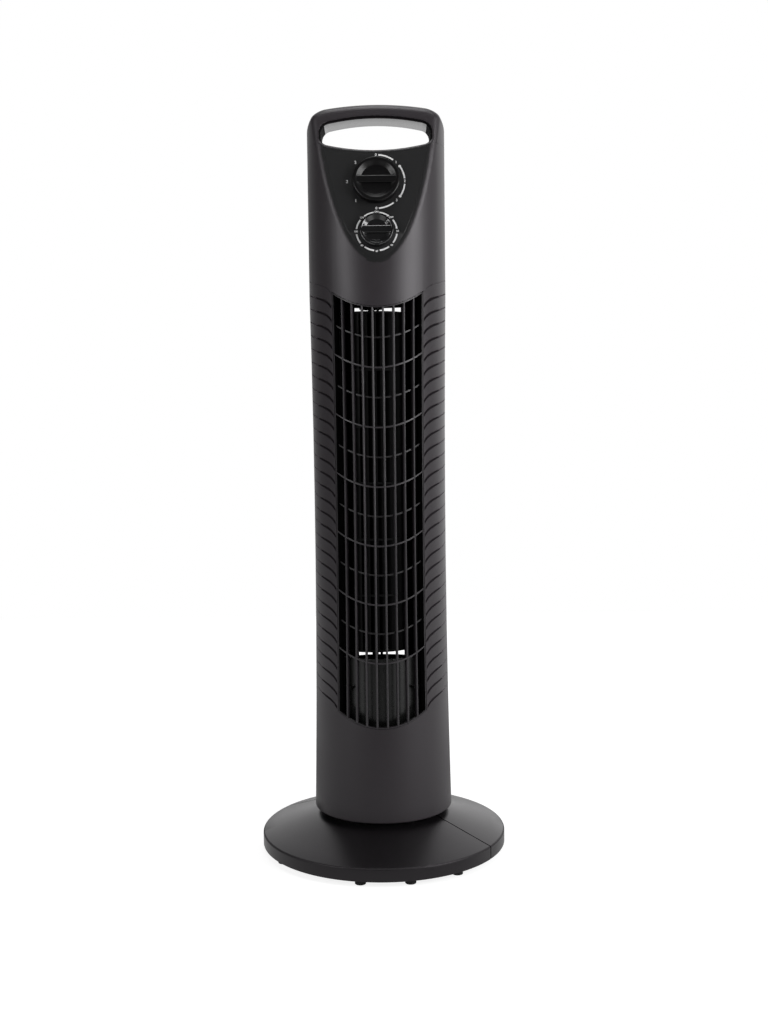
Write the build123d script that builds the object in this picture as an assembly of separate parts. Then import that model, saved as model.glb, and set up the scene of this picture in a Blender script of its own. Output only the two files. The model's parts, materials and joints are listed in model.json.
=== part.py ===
from build123d import *
import math
import os

os.makedirs("parts", exist_ok=True)

# Driving sizes in millimetres: the front faces -Y, the floor is Z = 0
HEIGHT = 804.5
BASE_RADIUS = 134.5
COLUMN_RADIUS = 73.8
GRILLE_HALF_ANGLE = 40.2
PANEL_TILT = 14.5
SWIVEL_HALF_ANGLE = 30.0

# Walls and clearances
WALL = 2.6
GRILLE_WALL = 4.6
SEAT = 0.15
GRILLE_FIT = 0.45
FIT = 0.05
FREE = 0.6
SEAM = 0.4
REACH = 3.0 * HEIGHT

# Base
RIM_BOTTOM = 6.0
RIM_TOP = RIM_BOTTOM + 13.5
RIM_ROUND = 2.2
CONE_SLOPE = 0.34
SEAM_TURN = 32.6
SEAM_GROOVE = 1.1
HEM_RADIUS = COLUMN_RADIUS + 2.1
COLLAR_RADIUS = HEM_RADIUS - 9.9
COLLAR_TOP = RIM_TOP + CONE_SLOPE * (BASE_RADIUS - COLLAR_RADIUS)
WELL_RADIUS = COLLAR_RADIUS - WALL
WELL_FLOOR = COLLAR_TOP - 11.8
WELL_LEDGE = 17.0
FOOT_RADIUS = 5.8
FOOT_CIRCLE = BASE_RADIUS - 11.0
FOOT_ANGLES = (-61.0, -11.5, 12.5, 38.0)
RIB_ANGLES = (-100.0, -61.0, -36.0, -11.5, 12.5, 38.0)
GLAND_RADIUS = 3.8
GLAND_Z = RIM_BOTTOM + 6.0

# Column outline: straight above the shoulder, one gentle waist below it
COLUMN_BOTTOM = COLLAR_TOP + 3.2
SHOULDER_Z = HEIGHT - 199.5
WAIST_RADIUS = COLUMN_RADIUS - 2.0
WAIST_Z = COLUMN_BOTTOM + 0.517 * (SHOULDER_Z - COLUMN_BOTTOM)
WAIST_STEPS = 8
HEM_ROUND = 1.8
SPLIT_Y = 2.0

# Control panel, carrying hoop and top cap
PANEL_TIP = HEIGHT - 170.1
PANEL_PLATE = 2.0
PANEL_EDGE = 3.2
PANEL_INSET = 11.0
PANEL_DRAW = PANEL_INSET - 0.9
TIMER_UP = 32.6
TIMER_RADIUS = 17.2
SPEED_UP = 87.7
SPEED_RADIUS = 24.5
KNOB_GAP = 0.6
KNOB_FLOOR = 4.4
KNOB_HIGH = 8.0
GRIP_WIDTH = 8.0
NOSE_HIGH = 2.6
SPINDLE_HIGH = 6.2
SPINDLE_RADIUS = 3.0
SLOT_TOP = HEIGHT - 15.8
SLOT_BOTTOM = HEIGHT - 50.8
SLOT_HALF = COLUMN_RADIUS - 16.3
SLOT_BOW = 7.6
SLOT_LOW_CORNER = 8.0
SLOT_HIGH_CORNER = 11.0
ARCH_EASE = 1.5
ARCH_RISE = 9.0
ARCH_CORNER = 28.0
HOOP_ROUND = 10.0
HOOP_WALL = 4.2
LIP_ROUND = 3.0
HOOP_SPLIT = SPLIT_Y - 18.0
COVER_LOW = SLOT_BOTTOM + SLOT_BOW
PEG_RADIUS = 2.4
PEG_LENGTH = 7.0
PEG_X = SLOT_HALF + 6.0
PEG_Y = HOOP_SPLIT - 6.0
CAP_FRONT = SLOT_BOTTOM - 1.0
CAP_FALL = 0.17

# Front grille and the gills beside it
GRILLE_LOW = COLUMN_BOTTOM + 101.1
GRILLE_HIGH = HEIGHT - 215.1
BOW = 0.96
BAR_COUNT = 8
BAR_WIDTH = 2.0
BAR_DEPTH = 5.0
BAR_INSET = 0.4
FRAME_WIDTH = 1.0
FLANGE_ANGLE = 1.3
RING_PITCH = 61.94
RING_FIRST = GRILLE_HIGH - 62.8
RING_THICK = 1.6
GILL_PITCH = 14.12
GILL_FIRST = GRILLE_HIGH + 1.2
GILL_COURSE = ((0.8, 0.0), (5.8, 5.8), (13.8, 9.7), (25.8, 13.1), (45.8, 17.0))
GILL_DEPTH = 3.5
GILL_OPEN = 3.6
GILL_END = 0.2
GILL_TOP_SHARE = 0.22

# Blower and its duct
WHEEL_X = -7.0
WHEEL_RADIUS = WAIST_RADIUS - 27.0
BLADE_COUNT = 30
BLADE_WIDTH = 9.5
BLADE_THICK = 1.2
WHEEL_LOW = GRILLE_LOW + 76.9
WHEEL_HIGH = GRILLE_HIGH - 2.4
DISC_PITCH = 60.0
DISC_THICK = 2.2
HUB_RADIUS = 8.0
SHAFT_RADIUS = 3.5
DUCT_FLOOR = GRILLE_LOW + 41.9
DUCT_TOP = GRILLE_HIGH + 22.6
PLATE = 3.0
COVER_RADIUS = COLUMN_RADIUS - 16.5
COVER_HIGH = GRILLE_LOW + 71.9
DUCT_WALL = 1.8
DUCT_RADIUS = WAIST_RADIUS - GRILLE_WALL - 3.2
LOOM_X = COLUMN_RADIUS - 23.8
LOOM_Y = 0.49 * COLUMN_RADIUS
LOOM_RADIUS = 2.2

# Rear intake slots
INTAKE_PITCH = 11.0
INTAKE_GAP = 5.6
INTAKE_HALF = COLUMN_RADIUS - 18.0
INTAKE_RIBS = 4
INTAKE_RIB = 3.0
INTAKE_SHORT = 1

# Column floor, swivel and crank
FLOOR_LOW = COLUMN_BOTTOM + 2.3
FLOOR_HIGH = FLOOR_LOW + PLATE
NECK_RADIUS = WELL_RADIUS - 0.3
NECK_FLOOR = WELL_FLOOR + SEAT
NECK_TOP = FLOOR_LOW - 2.2
TUBE_RADIUS = 9.5
TUBE_BORE = 5.5
TUBE_LOW = NECK_FLOOR - FREE
BUSH_RADIUS = TUBE_RADIUS + 2.5
CRANK_ARM = 0.5 * NECK_RADIUS + 4.5
CRANK_THROW = CRANK_ARM * math.sin(math.radians(SWIVEL_HALF_ANGLE))
CRANK_PIN = 3.0
CRANK_PLAY = 1.5
CRANK_LOW = NECK_FLOOR + 7.0
CRANK_THICK = 4.0
CRANK_SHAFT = 2.5
EAR_X = 29.0

# Motor
STATOR_RADIUS = COLUMN_RADIUS - 37.8
STATOR_BORE = 20.5
STATOR_LOW = DUCT_FLOOR - PLATE - 58.0
STATOR_HIGH = STATOR_LOW + 30.0
BRACKET_DEPTH = 20.0
AIR_GAP = 0.5

# Fasteners and bosses
SCREW_SHANK = 1.75
SCREW_HEAD = 3.2
BOSS_RADIUS = 5.0
BOSS_X = COLUMN_RADIUS - 14.5
COVER_SCREW_X = SLOT_HALF + 7.6
COVER_SCREW_Z = SLOT_BOTTOM + 17.5
SHELL_SCREW_HEIGHTS = (COLUMN_BOTTOM + 50.0, DUCT_TOP + 16.0, CAP_FRONT - 52.0)

UP = (Align.CENTER, Align.CENTER, Align.MIN)


# Upright round bar between two heights
def rod(radius, low, high, x=0.0, y=0.0):
    return Pos(x, y, low) * Cylinder(radius, high - low, align=UP)


# Upright tube between two heights
def tube(outer, inner, low, high, x=0.0, y=0.0):
    return rod(outer, low, high, x, y) - rod(inner, low - 1.0, high + 1.0, x, y)


# Square block between six limits
def block(x0, x1, y0, y1, z0, z1):
    return Pos((x0 + x1) / 2, (y0 + y1) / 2, (z0 + z1) / 2) * Box(x1 - x0, y1 - y0, z1 - z0)


# Cross-recessed screw: head above the origin, shank below it
def screw(length, shank=SCREW_SHANK, head=SCREW_HEAD, head_height=2.2):
    body = rod(head, 0.0, head_height) + rod(shank, -length, 0.0)
    body -= Pos(0, 0, head_height) * Box(1.2 * head, 0.9, head_height)
    body -= Pos(0, 0, head_height) * Box(0.9, 1.2 * head, head_height)
    return body


# Several solids kept in one piece of the list
def group(solids):
    return Compound([part.solid() for part in solids])


# Centre and radius of the circle through three points
def circle_through(a, b, c):
    (ax, ay), (bx, by), (cx, cy) = a, b, c
    d = 2 * (ax * (by - cy) + bx * (cy - ay) + cx * (ay - by))
    aa = ax * ax + ay * ay
    bb = bx * bx + by * by
    cc = cx * cx + cy * cy
    ux = (aa * (by - cy) + bb * (cy - ay) + cc * (ay - by)) / d
    uy = (aa * (cx - bx) + bb * (ax - cx) + cc * (bx - ax)) / d
    return ux, uy, math.hypot(ax - ux, ay - uy)


# Outer radius of the column at a height
def column_radius(z):
    if z >= SHOULDER_Z:
        return COLUMN_RADIUS
    points = ((HEM_RADIUS, COLUMN_BOTTOM), (WAIST_RADIUS, WAIST_Z), (COLUMN_RADIUS, SHOULDER_Z))
    cx, cz, r = circle_through(*points)
    return cx - math.sqrt(r * r - (z - cz) ** 2)


# Solid turned from the column's outline, drawn in by inset
def turned(inset):
    rise = (SHOULDER_Z - COLUMN_BOTTOM) / WAIST_STEPS
    side = [COLUMN_BOTTOM + rise * i for i in range(WAIST_STEPS + 1)]
    path = [(column_radius(z) - inset, z) for z in side]
    path += [(COLUMN_RADIUS - inset, HEIGHT), (0, HEIGHT), (0, COLUMN_BOTTOM)]
    return revolve(Plane.XZ * make_face(Polyline(*path, close=True)), Axis.Z)


# Upright wedge about the axis that opens to the front
def sector(half_angle):
    far = 2.0 * COLUMN_RADIUS
    side = far * math.tan(math.radians(half_angle))
    outline = Polyline((0, 0), (-side, -far), (side, -far), close=True)
    return extrude(make_face(outline), amount=HEIGHT)


# Band between two curves that dip at the front, cut straight through from the front
def bowed(low, high):
    turn = math.radians(GRILLE_HALF_ANGLE + 10.0)
    rows = []
    for z in (low, high):
        side = column_radius(z) * math.sin(turn)
        rise = BOW * column_radius(z) * (1.0 - math.cos(turn))
        rows.append(((-side, z + rise), (0, z), (side, z + rise)))
    lower, upper = rows
    sides = [Line(lower[2], upper[2]), Line(upper[0], lower[0])]
    face = make_face([ThreePointArc(*lower), ThreePointArc(*upper)] + sides)
    return extrude(Plane.XZ * face, amount=1.2 * COLUMN_RADIUS)


# Plane of the tilted control face, with its origin at the tip
def panel_plane():
    tilt = math.radians(PANEL_TILT)
    return Plane((0, -COLUMN_RADIUS, PANEL_TIP), (1, 0, 0), (0, -math.cos(tilt), math.sin(tilt)))


# Everything in front of the control face, moved back by depth
def before_panel(depth):
    return panel_plane() * Pos(0, 0, -depth) * Box(REACH, REACH, REACH, align=UP)


# Round-cornered outline of the hoop's crown, cut through from front to back
def arch(inset):
    half = COLUMN_RADIUS + ARCH_EASE - inset
    crown = HEIGHT - inset
    spring = crown - ARCH_RISE
    wide = 2.0 * half
    path = [(half, spring), (half, PANEL_TIP), (wide, PANEL_TIP), (wide, 0), (-wide, 0)]
    path += [(-wide, PANEL_TIP), (-half, PANEL_TIP), (-half, spring)]
    face = make_face([ThreePointArc((-half, spring), (0, crown), (half, spring)), Polyline(*path)])
    face = fillet(face.vertices().group_by(Axis.Y)[-1], ARCH_CORNER - inset)
    return extrude(Plane.XZ * face, amount=REACH / 2, both=True)


# Hand slot under the hoop, grown outward on every side
def slot(grow):
    half = SLOT_HALF + grow
    low = SLOT_BOTTOM - grow
    high = SLOT_TOP + grow
    floor = ThreePointArc((-half, low + SLOT_BOW), (0, low), (half, low + SLOT_BOW))
    roof = ThreePointArc((half, high - SLOT_BOW), (0, high), (-half, high - SLOT_BOW))
    right = Line((half, low + SLOT_BOW), (half, high - SLOT_BOW))
    left = Line((-half, high - SLOT_BOW), (-half, low + SLOT_BOW))
    face = make_face([floor, right, roof, left])
    corners = face.vertices().sort_by(Axis.Y)
    low_corners = corners[:2]
    face = fillet(low_corners, SLOT_LOW_CORNER + grow)
    face = fillet(face.vertices().group_by(Axis.Y)[-1], SLOT_HIGH_CORNER + grow)
    return extrude(Plane.XZ * face, amount=REACH / 2, both=True)


# Everything above the rear cap, which falls toward the back
def above_cap(depth):
    front = SPLIT_Y - REACH
    back = SPLIT_Y + REACH
    start = CAP_FRONT - depth + CAP_FALL * REACH
    end = CAP_FRONT - depth - CAP_FALL * REACH
    corners = [(front, start), (back, end), (back, REACH), (front, REACH)]
    return extrude(Plane.YZ * make_face(Polyline(*corners, close=True)), amount=REACH / 2, both=True)


# Whole outside of the column: waist, rounded hem, control face and hoop with soft edges, hand slot
def column_body():
    body = turned(0.0)
    body = fillet(body.edges().group_by(Axis.Z)[0], HEM_ROUND)
    body = body & arch(0.0)
    body -= before_panel(0.0)
    body -= block(-REACH, REACH, SPLIT_Y, REACH, CAP_FRONT, REACH)
    front = body.faces().filter_by(panel_plane()).sort_by(SortBy.AREA)[-1]
    crease = body.edges().filter_by(GeomType.BSPLINE).filter_by_position(Axis.Z, SLOT_BOTTOM, HEIGHT)
    body = fillet(front.outer_wire().edges() + crease, HOOP_ROUND)
    body -= slot(0.0)
    lip = body.edges().filter_by_position(Axis.Y, -COLUMN_RADIUS, 2.0 * HOOP_SPLIT)
    lip = lip.filter_by_position(Axis.Z, SLOT_BOTTOM - 0.5, SLOT_TOP + 0.5)
    lip = lip.filter_by_position(Axis.X, -SLOT_HALF - 0.5, SLOT_HALF + 0.5)
    return fillet(lip, LIP_ROUND)


# One gill groove: a three-sided cutter that thins out toward the side, with a sloping lower lip
def gill(level, side, size=1.0):
    rings = []
    radius = column_radius(level)
    first = GILL_COURSE[0][0]
    last = GILL_COURSE[-1][0]
    for angle, rise in GILL_COURSE:
        share = max(GILL_END, size * (1.0 - (1.0 - GILL_END) * (angle - first) / (last - first)))
        a = math.radians(GRILLE_HALF_ANGLE + angle) * side
        depth = GILL_DEPTH * share
        gap = GILL_OPEN * share
        z = level + rise
        out = radius + 1.2
        rows = ((out, z + 0.5 * gap), (radius - depth, z - 0.25 * gap), (out, z - 0.8 * gap))
        corners = [(r * math.sin(a), -r * math.cos(a), h) for r, h in rows]
        rings.append(Wire.make_polygon(corners, close=True))
    return Solid.make_loft(rings)


# Heights of the gill grooves where they meet the grille
def gill_levels():
    count = int((GILL_FIRST - GRILLE_LOW - 15.0) // GILL_PITCH) + 1
    return [GILL_FIRST - GILL_PITCH * i for i in range(count)]


# Room behind the control face for the panel plate
def panel_room(edge, depth):
    room = rod(COLUMN_RADIUS - PANEL_INSET - edge, 0.0, COVER_LOW, 0.0, -PANEL_DRAW)
    room &= panel_plane() * Pos(0, 0, -depth) * Box(REACH, REACH, depth, align=UP)
    return room - slot(PANEL_EDGE + edge)


# Bosses inside a shell's lower edge that take the floor screws
def floor_bosses(shell, side):
    for x, y in floor_screw_spots():
        if y * side > 0:
            boss = rod(BOSS_RADIUS, FLOOR_HIGH + SEAT, FLOOR_HIGH + 16.0, x, y) & turned(0.6 * WALL)
            shell = shell + boss - rod(SCREW_SHANK + FIT, FLOOR_HIGH, FLOOR_HIGH + 14.0, x, y)
    return shell


# Places of the four floor screws, two under each shell
def floor_screw_spots():
    reach = HEM_RADIUS - WALL - 5.1
    turns = [math.radians(a) for a in (60.0, 120.0, 240.0, 300.0)]
    return [(reach * math.cos(a), reach * math.sin(a)) for a in turns]


# Front shell: waist, gills, control face and the sill of the hand slot
def front_shell():
    shell = column_body() & block(-REACH, REACH, -REACH, SPLIT_Y, 0.0, COVER_LOW)
    zone = block(-REACH, REACH, -REACH, REACH, GRILLE_LOW - 12.0, GRILLE_HIGH + 26.0)
    inside = (turned(WALL) - zone) + (turned(GRILLE_WALL) & zone)
    inside -= before_panel(PANEL_PLATE + WALL)
    inside -= block(-REACH, REACH, -REACH, REACH, SLOT_BOTTOM - WALL, REACH)
    shell -= inside
    for x in (-PEG_X, PEG_X):
        shell -= rod(PEG_RADIUS + SEAT, COVER_LOW - PEG_LENGTH - FREE, HEIGHT, x, PEG_Y)
    shell -= sector(GRILLE_HALF_ANGLE) & bowed(GRILLE_LOW, GRILLE_HIGH)
    shell -= panel_room(0.0, PANEL_PLATE)
    for up in (TIMER_UP, SPEED_UP):
        shell -= panel_plane() * Pos(0, up, -20.0) * Cylinder(4.4, 40.0)
    for z in SHELL_SCREW_HEIGHTS:
        for x in (-BOSS_X, BOSS_X):
            wall_y = math.sqrt(column_radius(z) ** 2 - x * x) - 1.2
            boss = Pos(x, SPLIT_Y, z) * Rot(90, 0, 0) * Cylinder(BOSS_RADIUS, wall_y + SPLIT_Y, align=UP)
            pilot = Pos(x, SPLIT_Y, z) * Rot(90, 0, 0) * Cylinder(SCREW_SHANK + FIT, 18.0, align=UP)
            shell = shell + (boss & turned(0.6 * WALL)) - pilot
    shell = floor_bosses(shell, -1)
    shell -= [gill(level, side) for level in gill_levels() for side in (-1, 1)]
    return shell - [gill(GILL_FIRST + GILL_PITCH, side, GILL_TOP_SHARE) for side in (-1, 1)]


# Front of the carrying hoop: a hollow arch that stands on the shell by two pegs
def hoop_front():
    hoop = column_body() & block(-REACH, REACH, -REACH, HOOP_SPLIT, COVER_LOW + SEAT, REACH)
    hollow = (turned(HOOP_WALL) & arch(HOOP_WALL)) - slot(WALL) - before_panel(HOOP_WALL)
    hoop -= hollow & block(-REACH, REACH, -REACH, HOOP_SPLIT, COVER_LOW + WALL, REACH)
    for side in (-1, 1):
        lay = Pos(side * COVER_SCREW_X, HOOP_SPLIT, COVER_SCREW_Z) * Rot(90, 0, 0)
        post = lay * Cylinder(4.4, 40.0, align=UP)
        pilot = lay * Cylinder(SCREW_SHANK + FIT, 14.0, align=UP)
        hoop = hoop + (post & turned(0.6 * WALL) - before_panel(0.6 * WALL)) - pilot
        hoop += rod(PEG_RADIUS, COVER_LOW - PEG_LENGTH, COVER_LOW + WALL, side * PEG_X, PEG_Y)
    return hoop


# Rear cover of the hoop: closes the hollow from behind
def handle_rear_cover():
    cover = column_body() & block(-REACH, REACH, HOOP_SPLIT + SEAT, SPLIT_Y, COVER_LOW + SEAT, REACH)
    hollow = (turned(WALL) & arch(WALL)) - slot(WALL)
    cover -= hollow & block(-REACH, REACH, HOOP_SPLIT, SPLIT_Y - WALL, COVER_LOW + WALL, REACH)
    for x in (-COVER_SCREW_X, COVER_SCREW_X):
        lay = Pos(x, SPLIT_Y, COVER_SCREW_Z) * Rot(90, 0, 0)
        boss = lay * Cylinder(4.4, SPLIT_Y - HOOP_SPLIT - SEAT, align=UP)
        cover = cover + (boss & turned(0.6 * WALL)) - lay * Cylinder(SCREW_SHANK + SEAT, 40.0)
        cover -= lay * Cylinder(SCREW_HEAD + SEAT, 6.0)
    return cover


# Screws that hold the hoop's rear cover
def handle_cover_screws():
    spots = [Pos(x, SPLIT_Y - 3.0, COVER_SCREW_Z) for x in (-COVER_SCREW_X, COVER_SCREW_X)]
    return group([spot * Rot(-90, 0, 0) * screw(26.0) for spot in spots])


# Heights of the rear intake slots
def intake_levels():
    count = int((DUCT_TOP - DUCT_FLOOR - INTAKE_GAP) // INTAKE_PITCH)
    start = (DUCT_TOP + DUCT_FLOOR - (count - 1) * INTAKE_PITCH) / 2
    return [start + INTAKE_PITCH * i for i in range(count)]


# Rear shell: intake slots, sloping cap and the screw wells
def rear_shell():
    shell = fillet(turned(0.0).edges().group_by(Axis.Z)[0], HEM_ROUND)
    shell &= block(-REACH, REACH, SPLIT_Y + SEAM, REACH, 0.0, REACH)
    shell -= above_cap(0.0)
    shell -= turned(WALL) - above_cap(WALL)
    for z in SHELL_SCREW_HEIGHTS:
        for x in (-BOSS_X, BOSS_X):
            lay = Pos(x, SPLIT_Y + SEAM, z) * Rot(-90, 0, 0)
            boss = lay * Cylinder(BOSS_RADIUS + 1.0, COLUMN_RADIUS, align=UP)
            shell = shell + (boss & turned(0.6 * WALL)) - lay * Cylinder(SCREW_SHANK + SEAT, 40.0)
            shell -= lay * Pos(0, 0, 8.0) * Cylinder(SCREW_HEAD + 0.8, COLUMN_RADIUS, align=UP)
    shell = floor_bosses(shell, 1)
    cell = 2.0 * INTAKE_HALF / INTAKE_RIBS
    gap = INTAKE_GAP / 2
    cuts = []
    levels = intake_levels()
    for z in levels:
        short = INTAKE_SHORT if z in (levels[0], levels[-1]) else 0
        for i in range(short, INTAKE_RIBS - short):
            x0 = -INTAKE_HALF + cell * i + INTAKE_RIB / 2
            cuts.append(block(x0, x0 + cell - INTAKE_RIB, 12.0, REACH, z - gap, z + gap))
    return shell - cuts


# Screws that join the two shells from behind
def shell_screws():
    spots = [Pos(x, SPLIT_Y + SEAM + 8.0, z) for z in SHELL_SCREW_HEIGHTS for x in (-BOSS_X, BOSS_X)]
    return group([spot * Rot(-90, 0, 0) * screw(22.0) for spot in spots])


# Front grille: frame, bars, bowed rings and the finer rings behind them
def front_grille():
    half = GRILLE_HALF_ANGLE - math.degrees(GRILLE_FIT / WAIST_RADIUS)
    low = GRILLE_LOW + GRILLE_FIT
    high = GRILLE_HIGH - GRILLE_FIT
    inner = math.degrees(FRAME_WIDTH / COLUMN_RADIUS)
    back = GRILLE_WALL + GRILLE_FIT
    window = sector(half) & bowed(low, high)
    light = sector(half - inner) & bowed(low + FRAME_WIDTH, high - FRAME_WIDTH)
    frame = (window - light) & (turned(BAR_INSET) - turned(back + 2.0))
    flange = sector(half + FLANGE_ANGLE) & bowed(low - 4.0, high + 4.0)
    frame += (flange - light) & (turned(back) - turned(back + 2.0))
    step = 2.0 * half / (BAR_COUNT + 1)
    slabs = []
    for i in range(BAR_COUNT):
        turn = -half + step * (i + 1)
        slabs.append(Rot(0, 0, turn) * block(-BAR_WIDTH / 2, BAR_WIDTH / 2, -REACH, 0.0, 0.0, HEIGHT))
    skin = (turned(BAR_INSET) - turned(BAR_INSET + BAR_DEPTH)) & window
    pieces = [frame]
    pieces += [skin & slab for slab in slabs]
    count = int((RING_FIRST - GRILLE_LOW - 20.0) // RING_PITCH) + 1
    outer = (turned(BAR_INSET + 0.3) - turned(BAR_INSET + 3.0)) & sector(half - 0.2)
    fine = (turned(BAR_INSET + 3.4) - turned(BAR_INSET + BAR_DEPTH + 0.8)) & sector(half - 0.2)
    for i in range(count):
        mid = RING_FIRST - RING_PITCH * i
        pieces.append(outer & bowed(mid - RING_THICK / 2, mid + RING_THICK / 2))
        mid += RING_PITCH / 2
        pieces.append(fine & bowed(mid - RING_THICK / 2, mid + RING_THICK / 2))
    return pieces[0] + pieces[1:]


# Control panel plate set into the tilted face
def control_panel():
    plate = panel_room(SEAT, PANEL_PLATE)
    for up in (TIMER_UP, SPEED_UP):
        plate -= panel_plane() * Pos(0, up, 0) * Cylinder(4.4, 40.0)
    bed = panel_plane() * Pos(0, 0, -PANEL_PLATE + SEAT) * Box(REACH, REACH, PANEL_PLATE, align=UP)
    return plate & bed


# Rotary speed switch behind the panel
def speed_switch():
    top = PANEL_PLATE + WALL + SEAT
    body = Pos(0, 0, -top - 22.0) * Box(34.0, 34.0, 22.0, align=UP)
    body += rod(4.2, -top - 5.0, NOSE_HIGH)
    body -= rod(SPINDLE_RADIUS + FIT, -top - 18.2, 20.0)
    return panel_plane() * Pos(0, SPEED_UP, 0) * body


# Clockwork timer behind the panel
def timer_unit():
    top = PANEL_PLATE + WALL + SEAT
    body = rod(20.0, -top - 32.0, -top) + rod(4.2, -top - 5.0, NOSE_HIGH)
    body -= rod(SPINDLE_RADIUS + FIT, -top - 26.2, 20.0)
    return panel_plane() * Pos(0, TIMER_UP, 0) * body


# Hexagon nuts on the noses of the switch and the timer
def control_nuts():
    nut = extrude(RegularPolygon(6.8, 6), amount=2.2) - rod(4.2 + SEAT, -1.0, 4.0)
    return group([panel_plane() * Pos(0, up, SEAT) * nut for up in (TIMER_UP, SPEED_UP)])


# Spindle that a knob turns, from inside its unit to inside the knob
def spindle(up, depth):
    top = PANEL_PLATE + WALL + SEAT
    return panel_plane() * Pos(0, up, 0) * rod(SPINDLE_RADIUS, -top - depth, SPINDLE_HIGH)


# Knob: raised rim round a bowl with a straight grip across it
def bowl_knob(radius, rim, slope):
    knob = rod(radius, KNOB_GAP, KNOB_HIGH)
    knob = fillet(knob.edges().group_by(Axis.Z)[-1], 0.4 * rim)
    mouth = radius - rim
    knob -= Pos(0, 0, KNOB_FLOOR) * Cone(mouth - slope, mouth, KNOB_HIGH - KNOB_FLOOR, align=UP)
    grip = block(-radius, radius, -GRIP_WIDTH / 2, GRIP_WIDTH / 2, KNOB_FLOOR - 0.5, KNOB_HIGH - 0.3)
    grip = fillet(grip.edges().filter_by(Axis.X).group_by(Axis.Z)[-1], 1.8)
    knob += grip & rod(mouth + 0.3 * rim, 0.0, KNOB_HIGH)
    knob -= rod(9.6, 0.0, NOSE_HIGH + FREE)
    return knob - rod(SPINDLE_RADIUS + FIT, 0.0, SPINDLE_HIGH + 0.3)


# Speed knob, the larger one
def speed_knob():
    return panel_plane() * Pos(0, SPEED_UP, 0) * bowl_knob(SPEED_RADIUS, 3.6, 4.8)


# Timer knob, with a narrow rim
def timer_knob():
    return panel_plane() * Pos(0, TIMER_UP, 0) * bowl_knob(TIMER_RADIUS, 1.8, 4.0)


# Curved wall of the duct through three points, thickened to one side
def duct_wall(a, b, c, low, high, thick):
    cx, cy, r = circle_through(a, b, c)
    rows = []
    for x, y in (a, b, c):
        share = (r + thick) / r
        rows.append((cx + (x - cx) * share, cy + (y - cy) * share))
    edges = [ThreePointArc(a, b, c), Line(c, rows[2])]
    edges += [ThreePointArc(rows[2], rows[1], rows[0]), Line(rows[0], a)]
    return Pos(0, 0, low) * extrude(make_face(edges), amount=high - low)


# Point at an angle from the front, on a circle about the column's axis
def from_front(radius, angle):
    a = math.radians(angle)
    return radius * math.sin(a), -radius * math.cos(a)


# Point round the blower's axis, with the angle counted from +X
def from_wheel(radius, angle):
    a = math.radians(angle)
    return WHEEL_X + radius * math.cos(a), radius * math.sin(a)


# Scroll wall that leads the air round the blower to the outlet
def volute_wall():
    a = from_front(DUCT_RADIUS - 2.4, 0.2 - GRILLE_HALF_ANGLE)
    b = (WHEEL_X - WHEEL_RADIUS - 6.0, -5.0)
    c = from_wheel(WHEEL_RADIUS + 4.0, 142.0)
    return duct_wall(a, b, c, DUCT_FLOOR + SEAT, DUCT_TOP - SEAT, DUCT_WALL)


# Tongue wall that parts the outlet from the intake
def stabiliser_wall():
    a = from_front(DUCT_RADIUS - 2.4, GRILLE_HALF_ANGLE - 0.2)
    b = from_wheel(WHEEL_RADIUS + 7.0, -28.0)
    c = (DUCT_RADIUS - 5.0, 0.0)
    return duct_wall(a, b, c, COVER_HIGH + SEAT, DUCT_TOP - SEAT, DUCT_WALL)


# Round plate across the column: drawn in behind the grille, wide at the back
def cross_plate(low, high):
    wide = column_radius(low) - WALL - 0.4
    plate = rod(DUCT_RADIUS, low, high)
    return plate + (rod(wide, low, high) & block(-REACH, REACH, SPLIT_Y + SEAM + 0.6, REACH, 0.0, REACH))


# Plate over the blower with the housing of its upper bearing
def duct_top_plate():
    plate = cross_plate(DUCT_TOP, DUCT_TOP + PLATE)
    plate += rod(13.0, WHEEL_HIGH + 6.0, DUCT_TOP + 1.0, WHEEL_X)
    plate -= rod(10.0 + SEAT, WHEEL_HIGH, WHEEL_HIGH + 18.0, WHEEL_X)
    plate -= rod(SHAFT_RADIUS + 2.0, WHEEL_HIGH, DUCT_TOP + 10.0, WHEEL_X)
    return plate - rod(LOOM_RADIUS + FREE, 0.0, HEIGHT, LOOM_X, LOOM_Y)


# Rubber ring and bush of the upper bearing
def upper_bearing_rubber():
    return tube(10.0, 6.0 + SEAT, WHEEL_HIGH + 7.0, WHEEL_HIGH + 17.5, WHEEL_X)


def upper_bearing_bush():
    return tube(6.0, SHAFT_RADIUS + FIT, WHEEL_HIGH + 7.0, WHEEL_HIGH + 17.5, WHEEL_X)


# One curved blade of the blower, as a thin strip drawn in plan
def blade(turn):
    inner = WHEEL_RADIUS - BLADE_WIDTH
    outer = WHEEL_RADIUS - 0.3
    wide = math.degrees(BLADE_THICK / WHEEL_RADIUS)
    course = ((inner, 0.0), ((inner + outer) / 2, 3.0), (outer, 11.0))
    near = [from_wheel(r, turn + a) for r, a in course]
    far = [from_wheel(r, turn + a + wide) for r, a in course]
    edges = [ThreePointArc(*near), Line(near[2], far[2])]
    edges += [ThreePointArc(far[2], far[1], far[0]), Line(far[0], near[0])]
    return Pos(0, 0, WHEEL_LOW + 0.5) * extrude(make_face(edges), amount=WHEEL_HIGH - WHEEL_LOW - 1.0)


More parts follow.
